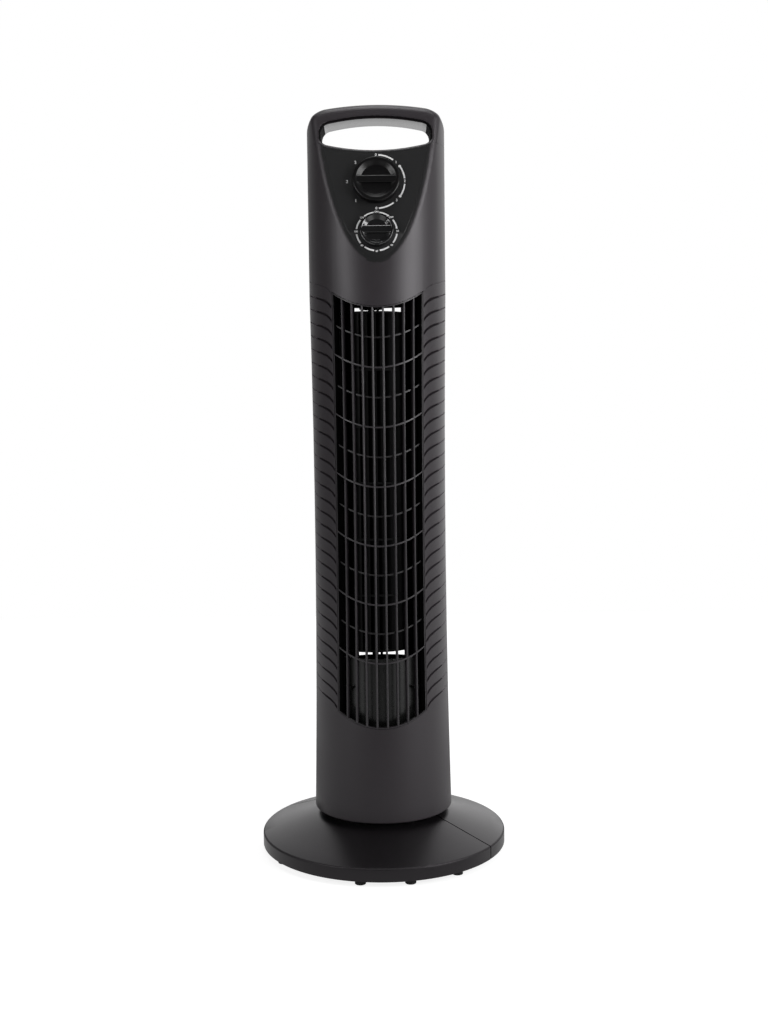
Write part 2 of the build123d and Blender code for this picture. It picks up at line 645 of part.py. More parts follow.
# Blower wheel: end discs, stiffening rings and curved blades
def blower_wheel():
    wheel = rod(WHEEL_RADIUS, WHEEL_LOW, WHEEL_LOW + DISC_THICK, WHEEL_X)
    wheel += rod(HUB_RADIUS, WHEEL_LOW - 2.0, WHEEL_LOW + 24.0, WHEEL_X)
    parts = [rod(WHEEL_RADIUS, WHEEL_HIGH - DISC_THICK, WHEEL_HIGH, WHEEL_X)]
    parts.append(rod(HUB_RADIUS, WHEEL_HIGH - 14.0, WHEEL_HIGH - 0.5, WHEEL_X))
    count = max(2, round((WHEEL_HIGH - WHEEL_LOW) / DISC_PITCH))
    span = (WHEEL_HIGH - WHEEL_LOW - DISC_THICK) / count
    for i in range(1, count):
        low = WHEEL_LOW + span * i
        parts.append(tube(WHEEL_RADIUS, WHEEL_RADIUS - BLADE_WIDTH - 0.6, low, low + DISC_THICK, WHEEL_X))
    parts += [blade(360.0 * i / BLADE_COUNT) for i in range(BLADE_COUNT)]
    wheel = wheel + parts
    wheel -= rod(SHAFT_RADIUS + FIT, WHEEL_LOW - 5.0, WHEEL_LOW + 22.0, WHEEL_X)
    wheel -= rod(SHAFT_RADIUS + FIT, WHEEL_HIGH - 12.0, WHEEL_HIGH + 5.0, WHEEL_X)
    return wheel - Pos(WHEEL_X, 0, WHEEL_LOW + 14.0) * Rot(0, 90, 0) * Cylinder(1.6 + FIT, 12.0, align=UP)


# Set screw that grips the motor shaft in the wheel's hub
def hub_set_screw():
    grub = Cylinder(1.6, HUB_RADIUS - SHAFT_RADIUS - 0.4, align=UP)
    return Pos(WHEEL_X + SHAFT_RADIUS + FIT, 0, WHEEL_LOW + 14.0) * Rot(0, 90, 0) * grub


# Stub shaft at the top of the wheel
def blower_top_shaft():
    return rod(SHAFT_RADIUS, WHEEL_HIGH - 11.5, WHEEL_HIGH + 20.0, WHEEL_X)


# Motor shaft and rotor
def motor_shaft():
    return rod(SHAFT_RADIUS, STATOR_LOW - BRACKET_DEPTH - 3.0, WHEEL_LOW + 21.0, WHEEL_X)


def motor_rotor():
    return tube(STATOR_BORE - AIR_GAP, SHAFT_RADIUS + FIT, STATOR_LOW - 1.5, STATOR_HIGH + 1.5, WHEEL_X)


# Laminated stator ring and its winding heads
def motor_stator():
    return tube(STATOR_RADIUS, STATOR_BORE, STATOR_LOW, STATOR_HIGH, WHEEL_X)


def motor_windings():
    bundle = 4.4
    middle = (STATOR_RADIUS + STATOR_BORE) / 2 - 0.6
    heads = [STATOR_LOW - bundle - 0.3, STATOR_HIGH + bundle + 0.3]
    return group([Pos(WHEEL_X, 0, z) * Torus(middle, bundle) for z in heads])


# Motor end bracket as a cup over the winding head, drawn with its mouth down
def end_bracket():
    cup = rod(STATOR_RADIUS, 0.0, BRACKET_DEPTH) - rod(STATOR_RADIUS - WALL, -1.0, BRACKET_DEPTH - WALL)
    cup += rod(11.0, BRACKET_DEPTH - 8.0, BRACKET_DEPTH)
    return cup - rod(7.0 + SEAT, -1.0, BRACKET_DEPTH + 1.0)


# Places of the four motor mounts
def mount_spots():
    return [from_wheel(STATOR_RADIUS + 6.0, a) for a in (45.0, 135.0, 225.0, 315.0)]


# Upper bracket carries four mounting lugs
def motor_upper_bracket():
    bracket = Pos(WHEEL_X, 0, STATOR_HIGH + SEAT) * end_bracket()
    top = STATOR_HIGH + SEAT + BRACKET_DEPTH
    for x, y in mount_spots():
        lug = rod(6.0, top - 4.0, top, x, y)
        turn = math.degrees(math.atan2(y, x - WHEEL_X))
        arm = Pos((x + WHEEL_X) / 2, y / 2, top - 2.0) * Rot(0, 0, turn) * Box(STATOR_RADIUS + 6.0, 9.0, 4.0)
        arm -= rod(STATOR_RADIUS - 2.0, 0.0, HEIGHT, WHEEL_X)
        bracket = bracket + [lug, arm]
        bracket -= rod(SCREW_SHANK + FIT, top - 10.0, top + 1.0, x, y)
    return bracket


def motor_lower_bracket():
    return Pos(WHEEL_X, 0, STATOR_LOW - SEAT) * Rot(180, 0, 0) * end_bracket()


# Sleeve bearings of the motor
def motor_bearings():
    low = STATOR_LOW - SEAT - BRACKET_DEPTH
    high = STATOR_HIGH + SEAT + BRACKET_DEPTH - 8.0
    return group([tube(7.0, SHAFT_RADIUS + FIT, z, z + 8.0, WHEEL_X) for z in (low, high)])


# Rubber grommets between the motor and the partition
def motor_mount_grommets():
    low = STATOR_HIGH + BRACKET_DEPTH + 2.0 * SEAT
    high = DUCT_FLOOR - PLATE - SEAT
    return group([tube(5.4, SCREW_SHANK + SEAT, low, high, x, y) for x, y in mount_spots()])


# Screws that hang the motor from the partition
def motor_screws():
    length = DUCT_FLOOR - STATOR_HIGH - BRACKET_DEPTH + 3.0
    return group([Pos(x, y, DUCT_FLOOR) * screw(length) for x, y in mount_spots()])


# Partition under the blower with the curved wall that hides the motor
def motor_cover():
    nose = sector(GRILLE_HALF_ANGLE - 8.0) - rod(COVER_RADIUS - 1.0, 0.0, HEIGHT)
    cover = cross_plate(DUCT_FLOOR - PLATE, DUCT_FLOOR) - nose
    wall = tube(COVER_RADIUS, COVER_RADIUS - 2.0, DUCT_FLOOR - 50.0, COVER_HIGH)
    cover += wall & sector(70.0)
    cover -= rod(HUB_RADIUS + 1.0, 0.0, HEIGHT, WHEEL_X)
    cover -= rod(LOOM_RADIUS + FREE, 0.0, HEIGHT, LOOM_X, LOOM_Y)
    return cover - [rod(SCREW_SHANK + SEAT, 0.0, HEIGHT, x, y) for x, y in mount_spots()]


# Run capacitor and terminal block on the column floor
def capacitor():
    near = -0.6 * COLUMN_RADIUS
    box = block(near, near + 34.0, near, near + 16.0, FLOOR_HIGH + SEAT, FLOOR_HIGH + 28.0)
    return fillet(box.edges().filter_by(Axis.Z), 2.0)


def terminal_block():
    low = FLOOR_HIGH + SEAT
    body = block(LOOM_X - 7.5, LOOM_X + 4.0, LOOM_Y - 26.0, LOOM_Y + 4.0, low, FLOOR_HIGH + 12.0)
    steps = [LOOM_Y - 23.0 + 6.0 * i for i in range(4)]
    return body - [rod(1.8, FLOOR_HIGH + 6.0, FLOOR_HIGH + 20.0, LOOM_X - 4.6, y) for y in steps]


# Wiring loom from the terminal block up to the speed switch
def wiring_loom():
    tilt = math.radians(PANEL_TILT)
    depth = PANEL_PLATE + WALL + SEAT + 11.0
    y = -COLUMN_RADIUS + SPEED_UP * math.sin(tilt) + depth * math.cos(tilt)
    z = PANEL_TIP + SPEED_UP * math.cos(tilt) - depth * math.sin(tilt)
    start = (LOOM_X, LOOM_Y, FLOOR_HIGH + 12.0 + SEAT)
    path = FilletPolyline(start, (LOOM_X, LOOM_Y, z), (LOOM_X, y, z), (17.0 + SEAT, y, z), radius=16.0)
    return sweep(Plane(start, z_dir=(0, 0, 1)) * Circle(LOOM_RADIUS), path=path)


# Column floor: turntable plate with the swivel tube under it
def column_floor():
    plate = rod(HEM_RADIUS - WALL - 0.4, FLOOR_LOW, FLOOR_HIGH)
    plate += rod(TUBE_RADIUS, TUBE_LOW, FLOOR_HIGH)
    plate -= rod(TUBE_BORE, 0.0, HEIGHT)
    plate -= rod(CRANK_SHAFT + FREE, FLOOR_LOW - 1.0, FLOOR_HIGH + 1.0, 0.0, CRANK_ARM)
    plate -= [rod(SCREW_SHANK + SEAT, 0.0, HEIGHT, x, y) for x, y in floor_screw_spots()]
    plate -= [rod(SCREW_SHANK + FIT, FLOOR_LOW - 1.0, HEIGHT, x, CRANK_ARM) for x in (-EAR_X, EAR_X)]
    return plate - [rod(1.2 + FIT, 0.0, TUBE_LOW + 8.0, x, y) for x, y in retainer_spots()]


# Screws that hold the floor to the shells
def column_floor_screws():
    spots = [Pos(x, y, FLOOR_LOW) * Rot(180, 0, 0) for x, y in floor_screw_spots()]
    return group([spot * screw(14.0, head_height=1.8) for spot in spots])


# Places of the three retainer screws
def retainer_spots():
    turns = [math.radians(a) for a in (90.0, 210.0, 330.0)]
    middle = (TUBE_RADIUS + TUBE_BORE) / 2
    return [(middle * math.cos(a), middle * math.sin(a)) for a in turns]


# Disc under the neck that keeps the column from lifting off
def swivel_retainer():
    disc = tube(17.0, TUBE_BORE, TUBE_LOW - 3.0, TUBE_LOW - SEAT)
    return disc - [rod(1.2 + SEAT, 0.0, HEIGHT, x, y) for x, y in retainer_spots()]


def retainer_screws():
    spots = [Pos(x, y, TUBE_LOW - 3.0) * Rot(180, 0, 0) for x, y in retainer_spots()]
    return group([spot * screw(10.0, shank=1.2, head=1.9, head_height=1.5) for spot in spots])


# Geared motor of the swivel, standing on the column floor
def oscillation_motor():
    low = FLOOR_HIGH + SEAT
    can = rod(24.0, low, low + 15.0, 0.0, CRANK_ARM)
    ears = block(-EAR_X - 4.5, EAR_X + 4.5, CRANK_ARM - 4.5, CRANK_ARM + 4.5, low, low + 1.5)
    ears -= [rod(SCREW_SHANK + SEAT, 0.0, HEIGHT, x, CRANK_ARM) for x in (-EAR_X, EAR_X)]
    return can + ears - rod(CRANK_SHAFT + FIT, low - 1.0, low + 11.0, 0.0, CRANK_ARM)


def oscillation_motor_screws():
    return group([Pos(x, CRANK_ARM, FLOOR_HIGH + SEAT + 1.5) * screw(4.4) for x in (-EAR_X, EAR_X)])


# Output shaft and crank of the swivel
def oscillation_shaft():
    return rod(CRANK_SHAFT, CRANK_LOW + 0.5, FLOOR_HIGH + 10.0, 0.0, CRANK_ARM)


def oscillation_crank():
    end = CRANK_ARM + CRANK_THROW
    high = CRANK_LOW + CRANK_THICK
    crank = rod(7.0, CRANK_LOW, high + 2.0, 0.0, CRANK_ARM) + rod(5.0, CRANK_LOW, high, 0.0, end)
    crank += block(-4.5, 4.5, CRANK_ARM, end, CRANK_LOW, high)
    crank += rod(CRANK_PIN, NECK_FLOOR + 0.5, CRANK_LOW + 1.0, 0.0, end)
    return crank - rod(CRANK_SHAFT + FIT, CRANK_LOW + 0.4, high + 5.0, 0.0, CRANK_ARM)


# Places of the neck screws, two in each base half
def neck_screw_spots():
    turns = [math.radians(a - SEAM_TURN) for a in (45.0, 135.0, 225.0, 315.0)]
    reach = WELL_RADIUS - 9.0
    return [(reach * math.cos(a), reach * math.sin(a)) for a in turns]


# Neck cup fixed in the base: swivel boss and radial slot for the crank pin
def base_neck():
    cup = rod(NECK_RADIUS, NECK_FLOOR, NECK_TOP)
    cup -= rod(NECK_RADIUS - WALL, NECK_FLOOR + 4.0, NECK_TOP + 1.0)
    cup += rod(BUSH_RADIUS + 2.2, NECK_FLOOR, NECK_FLOOR + 5.6)
    for x, y in neck_screw_spots():
        cup += rod(4.5, NECK_FLOOR, NECK_FLOOR + 6.0, x, y)
    cup -= rod(BUSH_RADIUS + FIT, 0.0, HEIGHT)
    near = CRANK_ARM - CRANK_THROW - CRANK_PIN - FREE
    far = CRANK_ARM + CRANK_THROW + CRANK_PIN + FREE
    wide = CRANK_PIN + CRANK_PLAY
    cup -= block(-wide, wide, max(near, BUSH_RADIUS + 2.2), far, 0.0, NECK_FLOOR + 6.5)
    return cup - [rod(SCREW_SHANK + FIT, 0.0, NECK_FLOOR + 5.2, x, y) for x, y in neck_screw_spots()]


# Screws that tie both base halves to the neck
def neck_screws():
    spots = [Pos(x, y, WELL_FLOOR - WALL) * Rot(180, 0, 0) for x, y in neck_screw_spots()]
    return group([spot * screw(7.5) for spot in spots])


# Bush round the swivel tube and the ring that carries the column
def swivel_bush():
    return tube(BUSH_RADIUS, TUBE_RADIUS + FIT, NECK_FLOOR, NECK_FLOOR + 5.6)


def thrust_ring():
    return tube(NECK_RADIUS, NECK_RADIUS - WALL, NECK_TOP, FLOOR_LOW - FIT)


# Height of the base's conical top at a radius
def cone_top(radius):
    return RIM_TOP + CONE_SLOPE * (BASE_RADIUS - radius)


# Turned form of the whole base: rim, cone, collar and ledge
def base_dish():
    skin = WALL * math.sqrt(1 + CONE_SLOPE ** 2)
    ledge = WELL_RADIUS - WELL_LEDGE
    rim = BASE_RADIUS - WALL
    path = [(BASE_RADIUS, RIM_BOTTOM), (BASE_RADIUS, RIM_TOP), (COLLAR_RADIUS, COLLAR_TOP)]
    path += [(WELL_RADIUS, COLLAR_TOP), (WELL_RADIUS, WELL_FLOOR), (ledge, WELL_FLOOR)]
    path += [(ledge, WELL_FLOOR - WALL), (COLLAR_RADIUS, WELL_FLOOR - WALL)]
    path += [(COLLAR_RADIUS, COLLAR_TOP - skin), (rim, cone_top(rim) - skin), (rim, RIM_BOTTOM)]
    face = make_face(Polyline(*path, close=True))
    face = fillet(face.vertices().sort_by_distance((BASE_RADIUS, RIM_TOP))[0], RIM_ROUND)
    return revolve(Plane.XZ * face, Axis.Z)


# Filled form of the base, to trim the bosses and ribs under it
def base_core():
    skin = 0.6 * WALL
    rim = BASE_RADIUS - skin
    path = [(0, RIM_BOTTOM), (rim, RIM_BOTTOM), (rim, cone_top(rim) - skin)]
    path += [(COLLAR_RADIUS - skin, cone_top(COLLAR_RADIUS) - skin), (0, cone_top(COLLAR_RADIUS) - skin)]
    return revolve(Plane.XZ * make_face(Polyline(*path, close=True)), Axis.Z)


# Notch that eases the seam along the cone and down the rim, on the +X side
def seam_groove():
    middle = (COLLAR_RADIUS + BASE_RADIUS) / 2
    slope = math.degrees(math.atan(CONE_SLOPE))
    bar = Box(1.2 * BASE_RADIUS, SEAM_GROOVE, SEAM_GROOVE)
    along = Pos(middle, 0, cone_top(middle)) * Rot(0, slope, 0) * Rot(45, 0, 0) * bar
    return along + Pos(BASE_RADIUS, 0, 0) * Rot(0, 0, 45) * Box(SEAM_GROOVE, SEAM_GROOVE, 2.0 * RIM_TOP)


# One base half with its ribs and foot bosses; the rear one is the same, turned round
def base_half():
    half = base_dish()
    lift = RIM_BOTTOM + 1.5
    depth = WELL_FLOOR - WALL
    near = COLLAR_RADIUS - 1.0
    path = [(near, depth), (near, REACH), (BASE_RADIUS, REACH), (BASE_RADIUS, lift)]
    rib = extrude(Plane.XZ * make_face(Polyline(*path, close=True)), amount=1.0, both=True)
    spots = [from_front(FOOT_CIRCLE, angle) for angle in FOOT_ANGLES]
    extras = [Rot(0, 0, angle - 90.0) * rib for angle in RIB_ANGLES]
    extras += [rod(FOOT_RADIUS + 1.6, RIM_BOTTOM, REACH, x, y) for x, y in spots]
    core = base_core()
    half = half + [core & extra for extra in extras]
    half -= [rod(2.4 + SEAT, 0.0, RIM_BOTTOM + 6.4, x, y) for x, y in spots]
    half -= [rod(SCREW_SHANK + SEAT, 0.0, HEIGHT, x, y) for x, y in neck_screw_spots()]
    half -= [Rot(0, 0, -SEAM_TURN + turn) * seam_groove() for turn in (0.0, 180.0)]
    return half & (Rot(0, 0, -SEAM_TURN) * block(-REACH, REACH, -REACH, -SEAM / 2, 0.0, REACH))


def base_rear_half():
    half = Rot(0, 0, 180) * base_half()
    return half - Pos(0, BASE_RADIUS, GLAND_Z) * Rot(90, 0, 0) * Cylinder(GLAND_RADIUS, 30.0)


# Rubber feet, pressed into the bosses of both halves
def base_feet():
    feet = []
    for angle in FOOT_ANGLES:
        for turn in (0.0, 180.0):
            x, y = from_front(FOOT_CIRCLE, angle + turn)
            pad = fillet(rod(FOOT_RADIUS, 0.0, RIM_BOTTOM - SEAT, x, y).edges().group_by(Axis.Z)[0], 0.8)
            feet.append(pad + rod(2.4, RIM_BOTTOM - 1.0, RIM_BOTTOM + 6.0, x, y))
    return group(feet)


# Rubber bush pressed into the rear rim of the base
def cord_gland():
    rim = BASE_RADIUS - WALL
    gland = Cylinder(GLAND_RADIUS - SEAT, WALL + 1.6, align=UP)
    gland += Cylinder(GLAND_RADIUS + 1.2, 1.6, align=UP)
    gland -= Cylinder(GLAND_RADIUS - 1.5, 20.0)
    return Pos(0, rim - 2.0, GLAND_Z) * Rot(-90, 0, 0) * gland


export_step(base_half(), "parts/base_front_half.step")
export_step(base_rear_half(), "parts/base_rear_half.step")
export_step(base_feet(), "parts/base_feet.step")
export_step(base_neck(), "parts/base_neck.step")
export_step(neck_screws(), "parts/neck_screws.step")
export_step(swivel_bush(), "parts/swivel_bush.step")
export_step(thrust_ring(), "parts/thrust_ring.step")
export_step(cord_gland(), "parts/cord_gland.step")
export_step(column_floor(), "parts/column_floor.step")
export_step(column_floor_screws(), "parts/column_floor_screws.step")
export_step(swivel_retainer(), "parts/swivel_retainer.step")
export_step(retainer_screws(), "parts/retainer_screws.step")
export_step(oscillation_motor(), "parts/oscillation_motor.step")
export_step(oscillation_motor_screws(), "parts/oscillation_motor_screws.step")
export_step(oscillation_shaft(), "parts/oscillation_shaft.step")
export_step(oscillation_crank(), "parts/oscillation_crank.step")
export_step(capacitor(), "parts/capacitor.step")
export_step(terminal_block(), "parts/terminal_block.step")
export_step(wiring_loom(), "parts/wiring_loom.step")
export_step(motor_lower_bracket(), "parts/motor_lower_bracket.step")
export_step(motor_stator(), "parts/motor_stator.step")
export_step(motor_windings(), "parts/motor_windings.step")
export_step(motor_upper_bracket(), "parts/motor_upper_bracket.step")
export_step(motor_bearings(), "parts/motor_bearings.step")
export_step(motor_mount_grommets(), "parts/motor_mount_grommets.step")
export_step(motor_screws(), "parts/motor_screws.step")
export_step(motor_rotor(), "parts/motor_rotor.step")
export_step(motor_shaft(), "parts/motor_shaft.step")
export_step(motor_cover(), "parts/motor_cover.step")
export_step(blower_wheel(), "parts/blower_wheel.step")
export_step(hub_set_screw(), "parts/hub_set_screw.step")
export_step(blower_top_shaft(), "parts/blower_top_shaft.step")
export_step(upper_bearing_bush(), "parts/upper_bearing_bush.step")
export_step(upper_bearing_rubber(), "parts/upper_bearing_rubber.step")
export_step(duct_top_plate(), "parts/duct_top_plate.step")
export_step(volute_wall(), "parts/volute_wall.step")
export_step(stabiliser_wall(), "parts/stabiliser_wall.step")
export_step(speed_switch(), "parts/speed_switch.step")
export_step(timer_unit(), "parts/timer_unit.step")
export_step(control_nuts(), "parts/control_nuts.step")
export_step(control_panel(), "parts/control_panel.step")
export_step(spindle(SPEED_UP, 18.0), "parts/speed_spindle.step")
export_step(speed_knob(), "parts/speed_knob.step")
export_step(spindle(TIMER_UP, 26.0), "parts/timer_spindle.step")
export_step(timer_knob(), "parts/timer_knob.step")
export_step(front_grille(), "parts/front_grille.step")
export_step(rear_shell(), "parts/rear_shell.step")
export_step(shell_screws(), "parts/shell_screws.step")
export_step(handle_rear_cover(), "parts/handle_rear_cover.step")
export_step(handle_cover_screws(), "parts/handle_cover_screws.step")
export_step(hoop_front(), "parts/hoop_front.step")
export_step(front_shell(), "parts/front_shell.step")
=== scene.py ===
import json
import math

import bmesh
import bpy
from mathutils import Matrix, Vector


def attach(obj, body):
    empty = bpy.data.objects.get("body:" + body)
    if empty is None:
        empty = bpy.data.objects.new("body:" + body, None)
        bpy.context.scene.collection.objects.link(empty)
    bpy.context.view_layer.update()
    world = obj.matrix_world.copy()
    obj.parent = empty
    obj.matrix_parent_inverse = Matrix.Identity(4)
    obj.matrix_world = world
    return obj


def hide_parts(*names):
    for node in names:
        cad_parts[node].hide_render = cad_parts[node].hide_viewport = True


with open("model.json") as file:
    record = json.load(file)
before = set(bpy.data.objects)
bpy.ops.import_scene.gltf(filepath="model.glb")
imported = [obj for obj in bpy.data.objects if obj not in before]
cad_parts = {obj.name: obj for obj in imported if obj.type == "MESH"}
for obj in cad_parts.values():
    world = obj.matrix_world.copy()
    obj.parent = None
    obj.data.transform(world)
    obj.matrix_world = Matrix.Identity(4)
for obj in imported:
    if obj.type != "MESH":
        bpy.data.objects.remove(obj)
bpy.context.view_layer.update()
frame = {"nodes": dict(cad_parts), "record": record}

# Base halves: two charcoal ABS mouldings with a fine spark-eroded grain and a duller rounded rim.
# They meet on a straight seam turned out of square, whose groove is painted near-black as shadow,
# and carry the neck between them.
bodies = frame["record"]["behaviour"]["bodies"]
body_of = {node: body for body, held in bodies.items() for node in held}
weld = 0.000004


class Wire:
    """A socket in a node tree: arithmetic on it adds Math nodes, node() adds any other."""

    def __init__(self, tree, socket=None):
        self.tree = tree
        self.socket = socket

    def node(self, kind, settings=None, sockets=None, out=0):
        made = self.tree.nodes.new(kind)
        for key, value in (settings or {}).items():
            if key == "stops":
                ramp = made.color_ramp.elements
                while len(ramp) < len(value):
                    ramp.new(1.0)
                for stop, (place, tone) in zip(ramp, value):
                    stop.position = place
                    stop.color = tone
            else:
                setattr(made, key, value)
        for key, value in (sockets or {}).items():
            for item in value if isinstance(value, list) else [value]:
                if isinstance(item, Wire):
                    self.tree.links.new(item.socket, made.inputs[key])
                else:
                    made.inputs[key].default_value = item
        return Wire(self.tree, made.outputs[out])

    def math(self, operation, first, second=0.0):
        return self.node("ShaderNodeMath", {"operation": operation}, {0: first, 1: second})

    def __add__(self, other):
        return self.math("ADD", self, other)

    __radd__ = __add__

    def __sub__(self, other):
        return self.math("SUBTRACT", self, other)

    def __rsub__(self, other):
        return self.math("SUBTRACT", other, self)

    def __mul__(self, other):
        return self.math("MULTIPLY", self, other)

    __rmul__ = __mul__

    def __truediv__(self, other):
        return self.math("DIVIDE", self, other)

    def __pow__(self, other):
        return self.math("POWER", self, other)

    def blend(self, low, high):
        """The colour that goes from low to high as this value goes from 0 to 1."""
        return self.node("ShaderNodeMix", {"data_type": "RGBA"}, {0: self, 6: low, 7: high}, 2)


def moulded(name, tone, roughness, grain=1100.0, relief=0.00003, drift=0.16, constants=None):
    """Moulded plastic or rubber: eroded grain, slow flow marks, specks of dust in the grain."""
    finish = bpy.data.materials.new(name)
    finish.use_nodes = True
    tree = finish.node_tree
    shader = tree.nodes["Principled BSDF"]
    place = Wire(tree).node("ShaderNodeTexCoord", out="Object")
    flow = place.node("ShaderNodeTexNoise", None, {"Vector": place, "Scale": 9.0, "Detail": 3.0})
    pits = place.node("ShaderNodeTexNoise", None, {"Vector": place, "Scale": grain, "Detail": 2.0})
    dust = place.node("ShaderNodeTexNoise", None, {"Vector": place, "Scale": 2400.0, "Detail": 0.0})
    speck = place.node("ShaderNodeMapRange", None, {"Value": dust, "From Min": 0.74, "From Max": 0.80})
    dark = tuple(c * (1.0 - drift) for c in tone) + (1.0,)
    light = tuple(c * (1.0 + drift) for c in tone) + (1.0,)
    pale = tuple(c * 0.8 + 0.03 for c in tone) + (1.0,)
    ground = (flow * 0.6 + pits * 0.4).blend(dark, light)
    colour = (speck * 0.5).blend(ground, pale)
    tree.links.new(colour.socket, shader.inputs["Base Color"])
    matt = (flow - 0.5) * 0.12 + (pits - 0.5) * 0.1 + roughness
    tree.links.new(matt.socket, shader.inputs["Roughness"])
    bump = place.node("ShaderNodeBump", None, {"Height": pits, "Strength": 0.5, "Distance": relief})
    tree.links.new(bump.socket, shader.inputs["Normal"])
    for key, value in (constants or {}).items():
        shader.inputs[key].default_value = value
    return finish


def dress(node, finish, crease=30.0, ease=0.0):
    """Shows a node as a merged, smooth-shaded copy, with its sharp edges broken by ease."""
    piece = bpy.data.objects.new(node + "_skin", frame["nodes"][node].data.copy())
    bpy.context.scene.collection.objects.link(piece)
    form = bmesh.new()
    form.from_mesh(piece.data)
    bmesh.ops.remove_doubles(form, verts=form.verts, dist=weld)
    bmesh.ops.dissolve_degenerate(form, edges=form.edges, dist=weld)
    if ease:
        flat = math.radians(0.3)
        bmesh.ops.dissolve_limit(form, angle_limit=flat, verts=form.verts, edges=form.edges)
        sharp = math.radians(crease)
        bends = [e for e in form.edges if e.is_manifold and e.calc_face_angle() > sharp]
        bmesh.ops.bevel(form, geom=bends, offset=ease, segments=2, profile=0.5, affect="EDGES",
                        clamp_overlap=True)
    for face in form.faces:
        face.smooth = True
    form.to_mesh(piece.data)
    form.free()
    imported = piece.data.attributes.get("custom_normal")
    if imported:
        piece.data.attributes.remove(imported)
    piece.data.set_sharp_from_angle(angle=math.radians(crease))
    piece.data.materials.clear()
    piece.data.materials.append(finish)
    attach(piece, body_of[node])
    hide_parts(node)
    return piece


def coat(finish, *names):
    """Gives CAD nodes that keep their own shape a finish."""
    for name in names:
        frame["nodes"][name].data.materials.clear()
        frame["nodes"][name].data.materials.append(finish)


base_tone = (0.0038, 0.0032, 0.0038)
base_sheen = {"Specular IOR Level": 0.43, "Specular Tint": (1.0, 0.94, 1.0, 1.0)}
base_abs = moulded("base_charcoal_abs", base_tone, 0.32, grain=1300.0, constants=base_sheen)
rim_edge = moulded("base_rim_edge", base_tone, 0.55, grain=1300.0, constants=base_sheen)
# Painted shadow: the seam groove's faces are near-black and have no sheen.
seam_shadow = moulded("base_seam_shadow", (0.0012, 0.0011, 0.0012), 0.9,
                      constants={"Specular IOR Level": 0.0})
seam_turn, seam_half = math.radians(32.6), 0.0009
rim_start = 0.1310
for piece in (dress("base_front_half", base_abs), dress("base_rear_half", base_abs)):
    piece.data.materials.append(seam_shadow)
    piece.data.materials.append(rim_edge)
    for face in piece.data.polygons:
        spot = face.center
        off = spot.x * math.sin(seam_turn) + spot.y * math.cos(seam_turn)
        rounded = math.hypot(spot.x, spot.y) > rim_start and 0.1 < face.normal.z < 0.93
        face.material_index = 1 if abs(off) < seam_half else 2 * int(rounded)

# Feet: eight soft black rubber buttons, each with a stem pressed into a boss under the rim.
# They are compression moulded, so the tread is dull and a little dusty from the floor.
foot_rubber = moulded("foot_rubber", (0.012, 0.012, 0.012), 0.78, grain=700.0, relief=0.00006)
dress("base_feet", foot_rubber)

# Neck: a black nylon cup screwed into the middle of the base. A natural acetal bush and thrust
# ring carry the column's swivel, and a rubber gland is pressed into the rear rim.
neck_nylon = moulded("neck_black_nylon", (0.016, 0.016, 0.017), 0.5, grain=500.0)
natural_acetal = moulded("natural_acetal", (0.72, 0.71, 0.66), 0.38, grain=300.0, drift=0.04)
coat(neck_nylon, "base_neck")
coat(natural_acetal, "swivel_bush", "thrust_ring")
coat(foot_rubber, "cord_gland")

# Screws: pan-head cross-recessed self-tappers in black-oxide steel, cold headed and thread
# rolled. They hold the neck, the floor, the shells, the hoop and the motor.
tapping_head, tapping_shank = 0.0032, 0.00175
head_rise = 0.62


def metal(name, tone, roughness, scratch=(400.0, 400.0, 40.0), constants=None):
    """Bare or plated metal: drawn or turned marks, faint tarnish."""
    finish = bpy.data.materials.new(name)
    finish.use_nodes = True
    tree = finish.node_tree
    shader = tree.nodes["Principled BSDF"]
    shader.inputs["Metallic"].default_value = 1.0
    place = Wire(tree).node("ShaderNodeTexCoord", out="Object")
    stretched = place.node("ShaderNodeMapping", None, {"Vector": place, "Scale": scratch})
    marks = place.node("ShaderNodeTexNoise", None, {"Vector": stretched, "Scale": 3.0, "Detail": 3.0})
    bloom = place.node("ShaderNodeTexNoise", None, {"Vector": place, "Scale": 60.0, "Detail": 2.0})
    dull = tuple(c * 0.7 for c in tone) + (1.0,)
    colour = (marks * 0.5 + bloom * 0.5).blend(dull, tuple(tone) + (1.0,))
    tree.links.new(colour.socket, shader.inputs["Base Color"])
    matt = (marks - 0.5) * 0.2 + (bloom - 0.5) * 0.15 + roughness
    tree.links.new(matt.socket, shader.inputs["Roughness"])
    bump = place.node("ShaderNodeBump", None, {"Height": marks, "Strength": 0.3, "Distance": 0.00002})
    tree.links.new(bump.socket, shader.inputs["Normal"])
    for key, value in (constants or {}).items():
        shader.inputs[key].default_value = value
    return finish


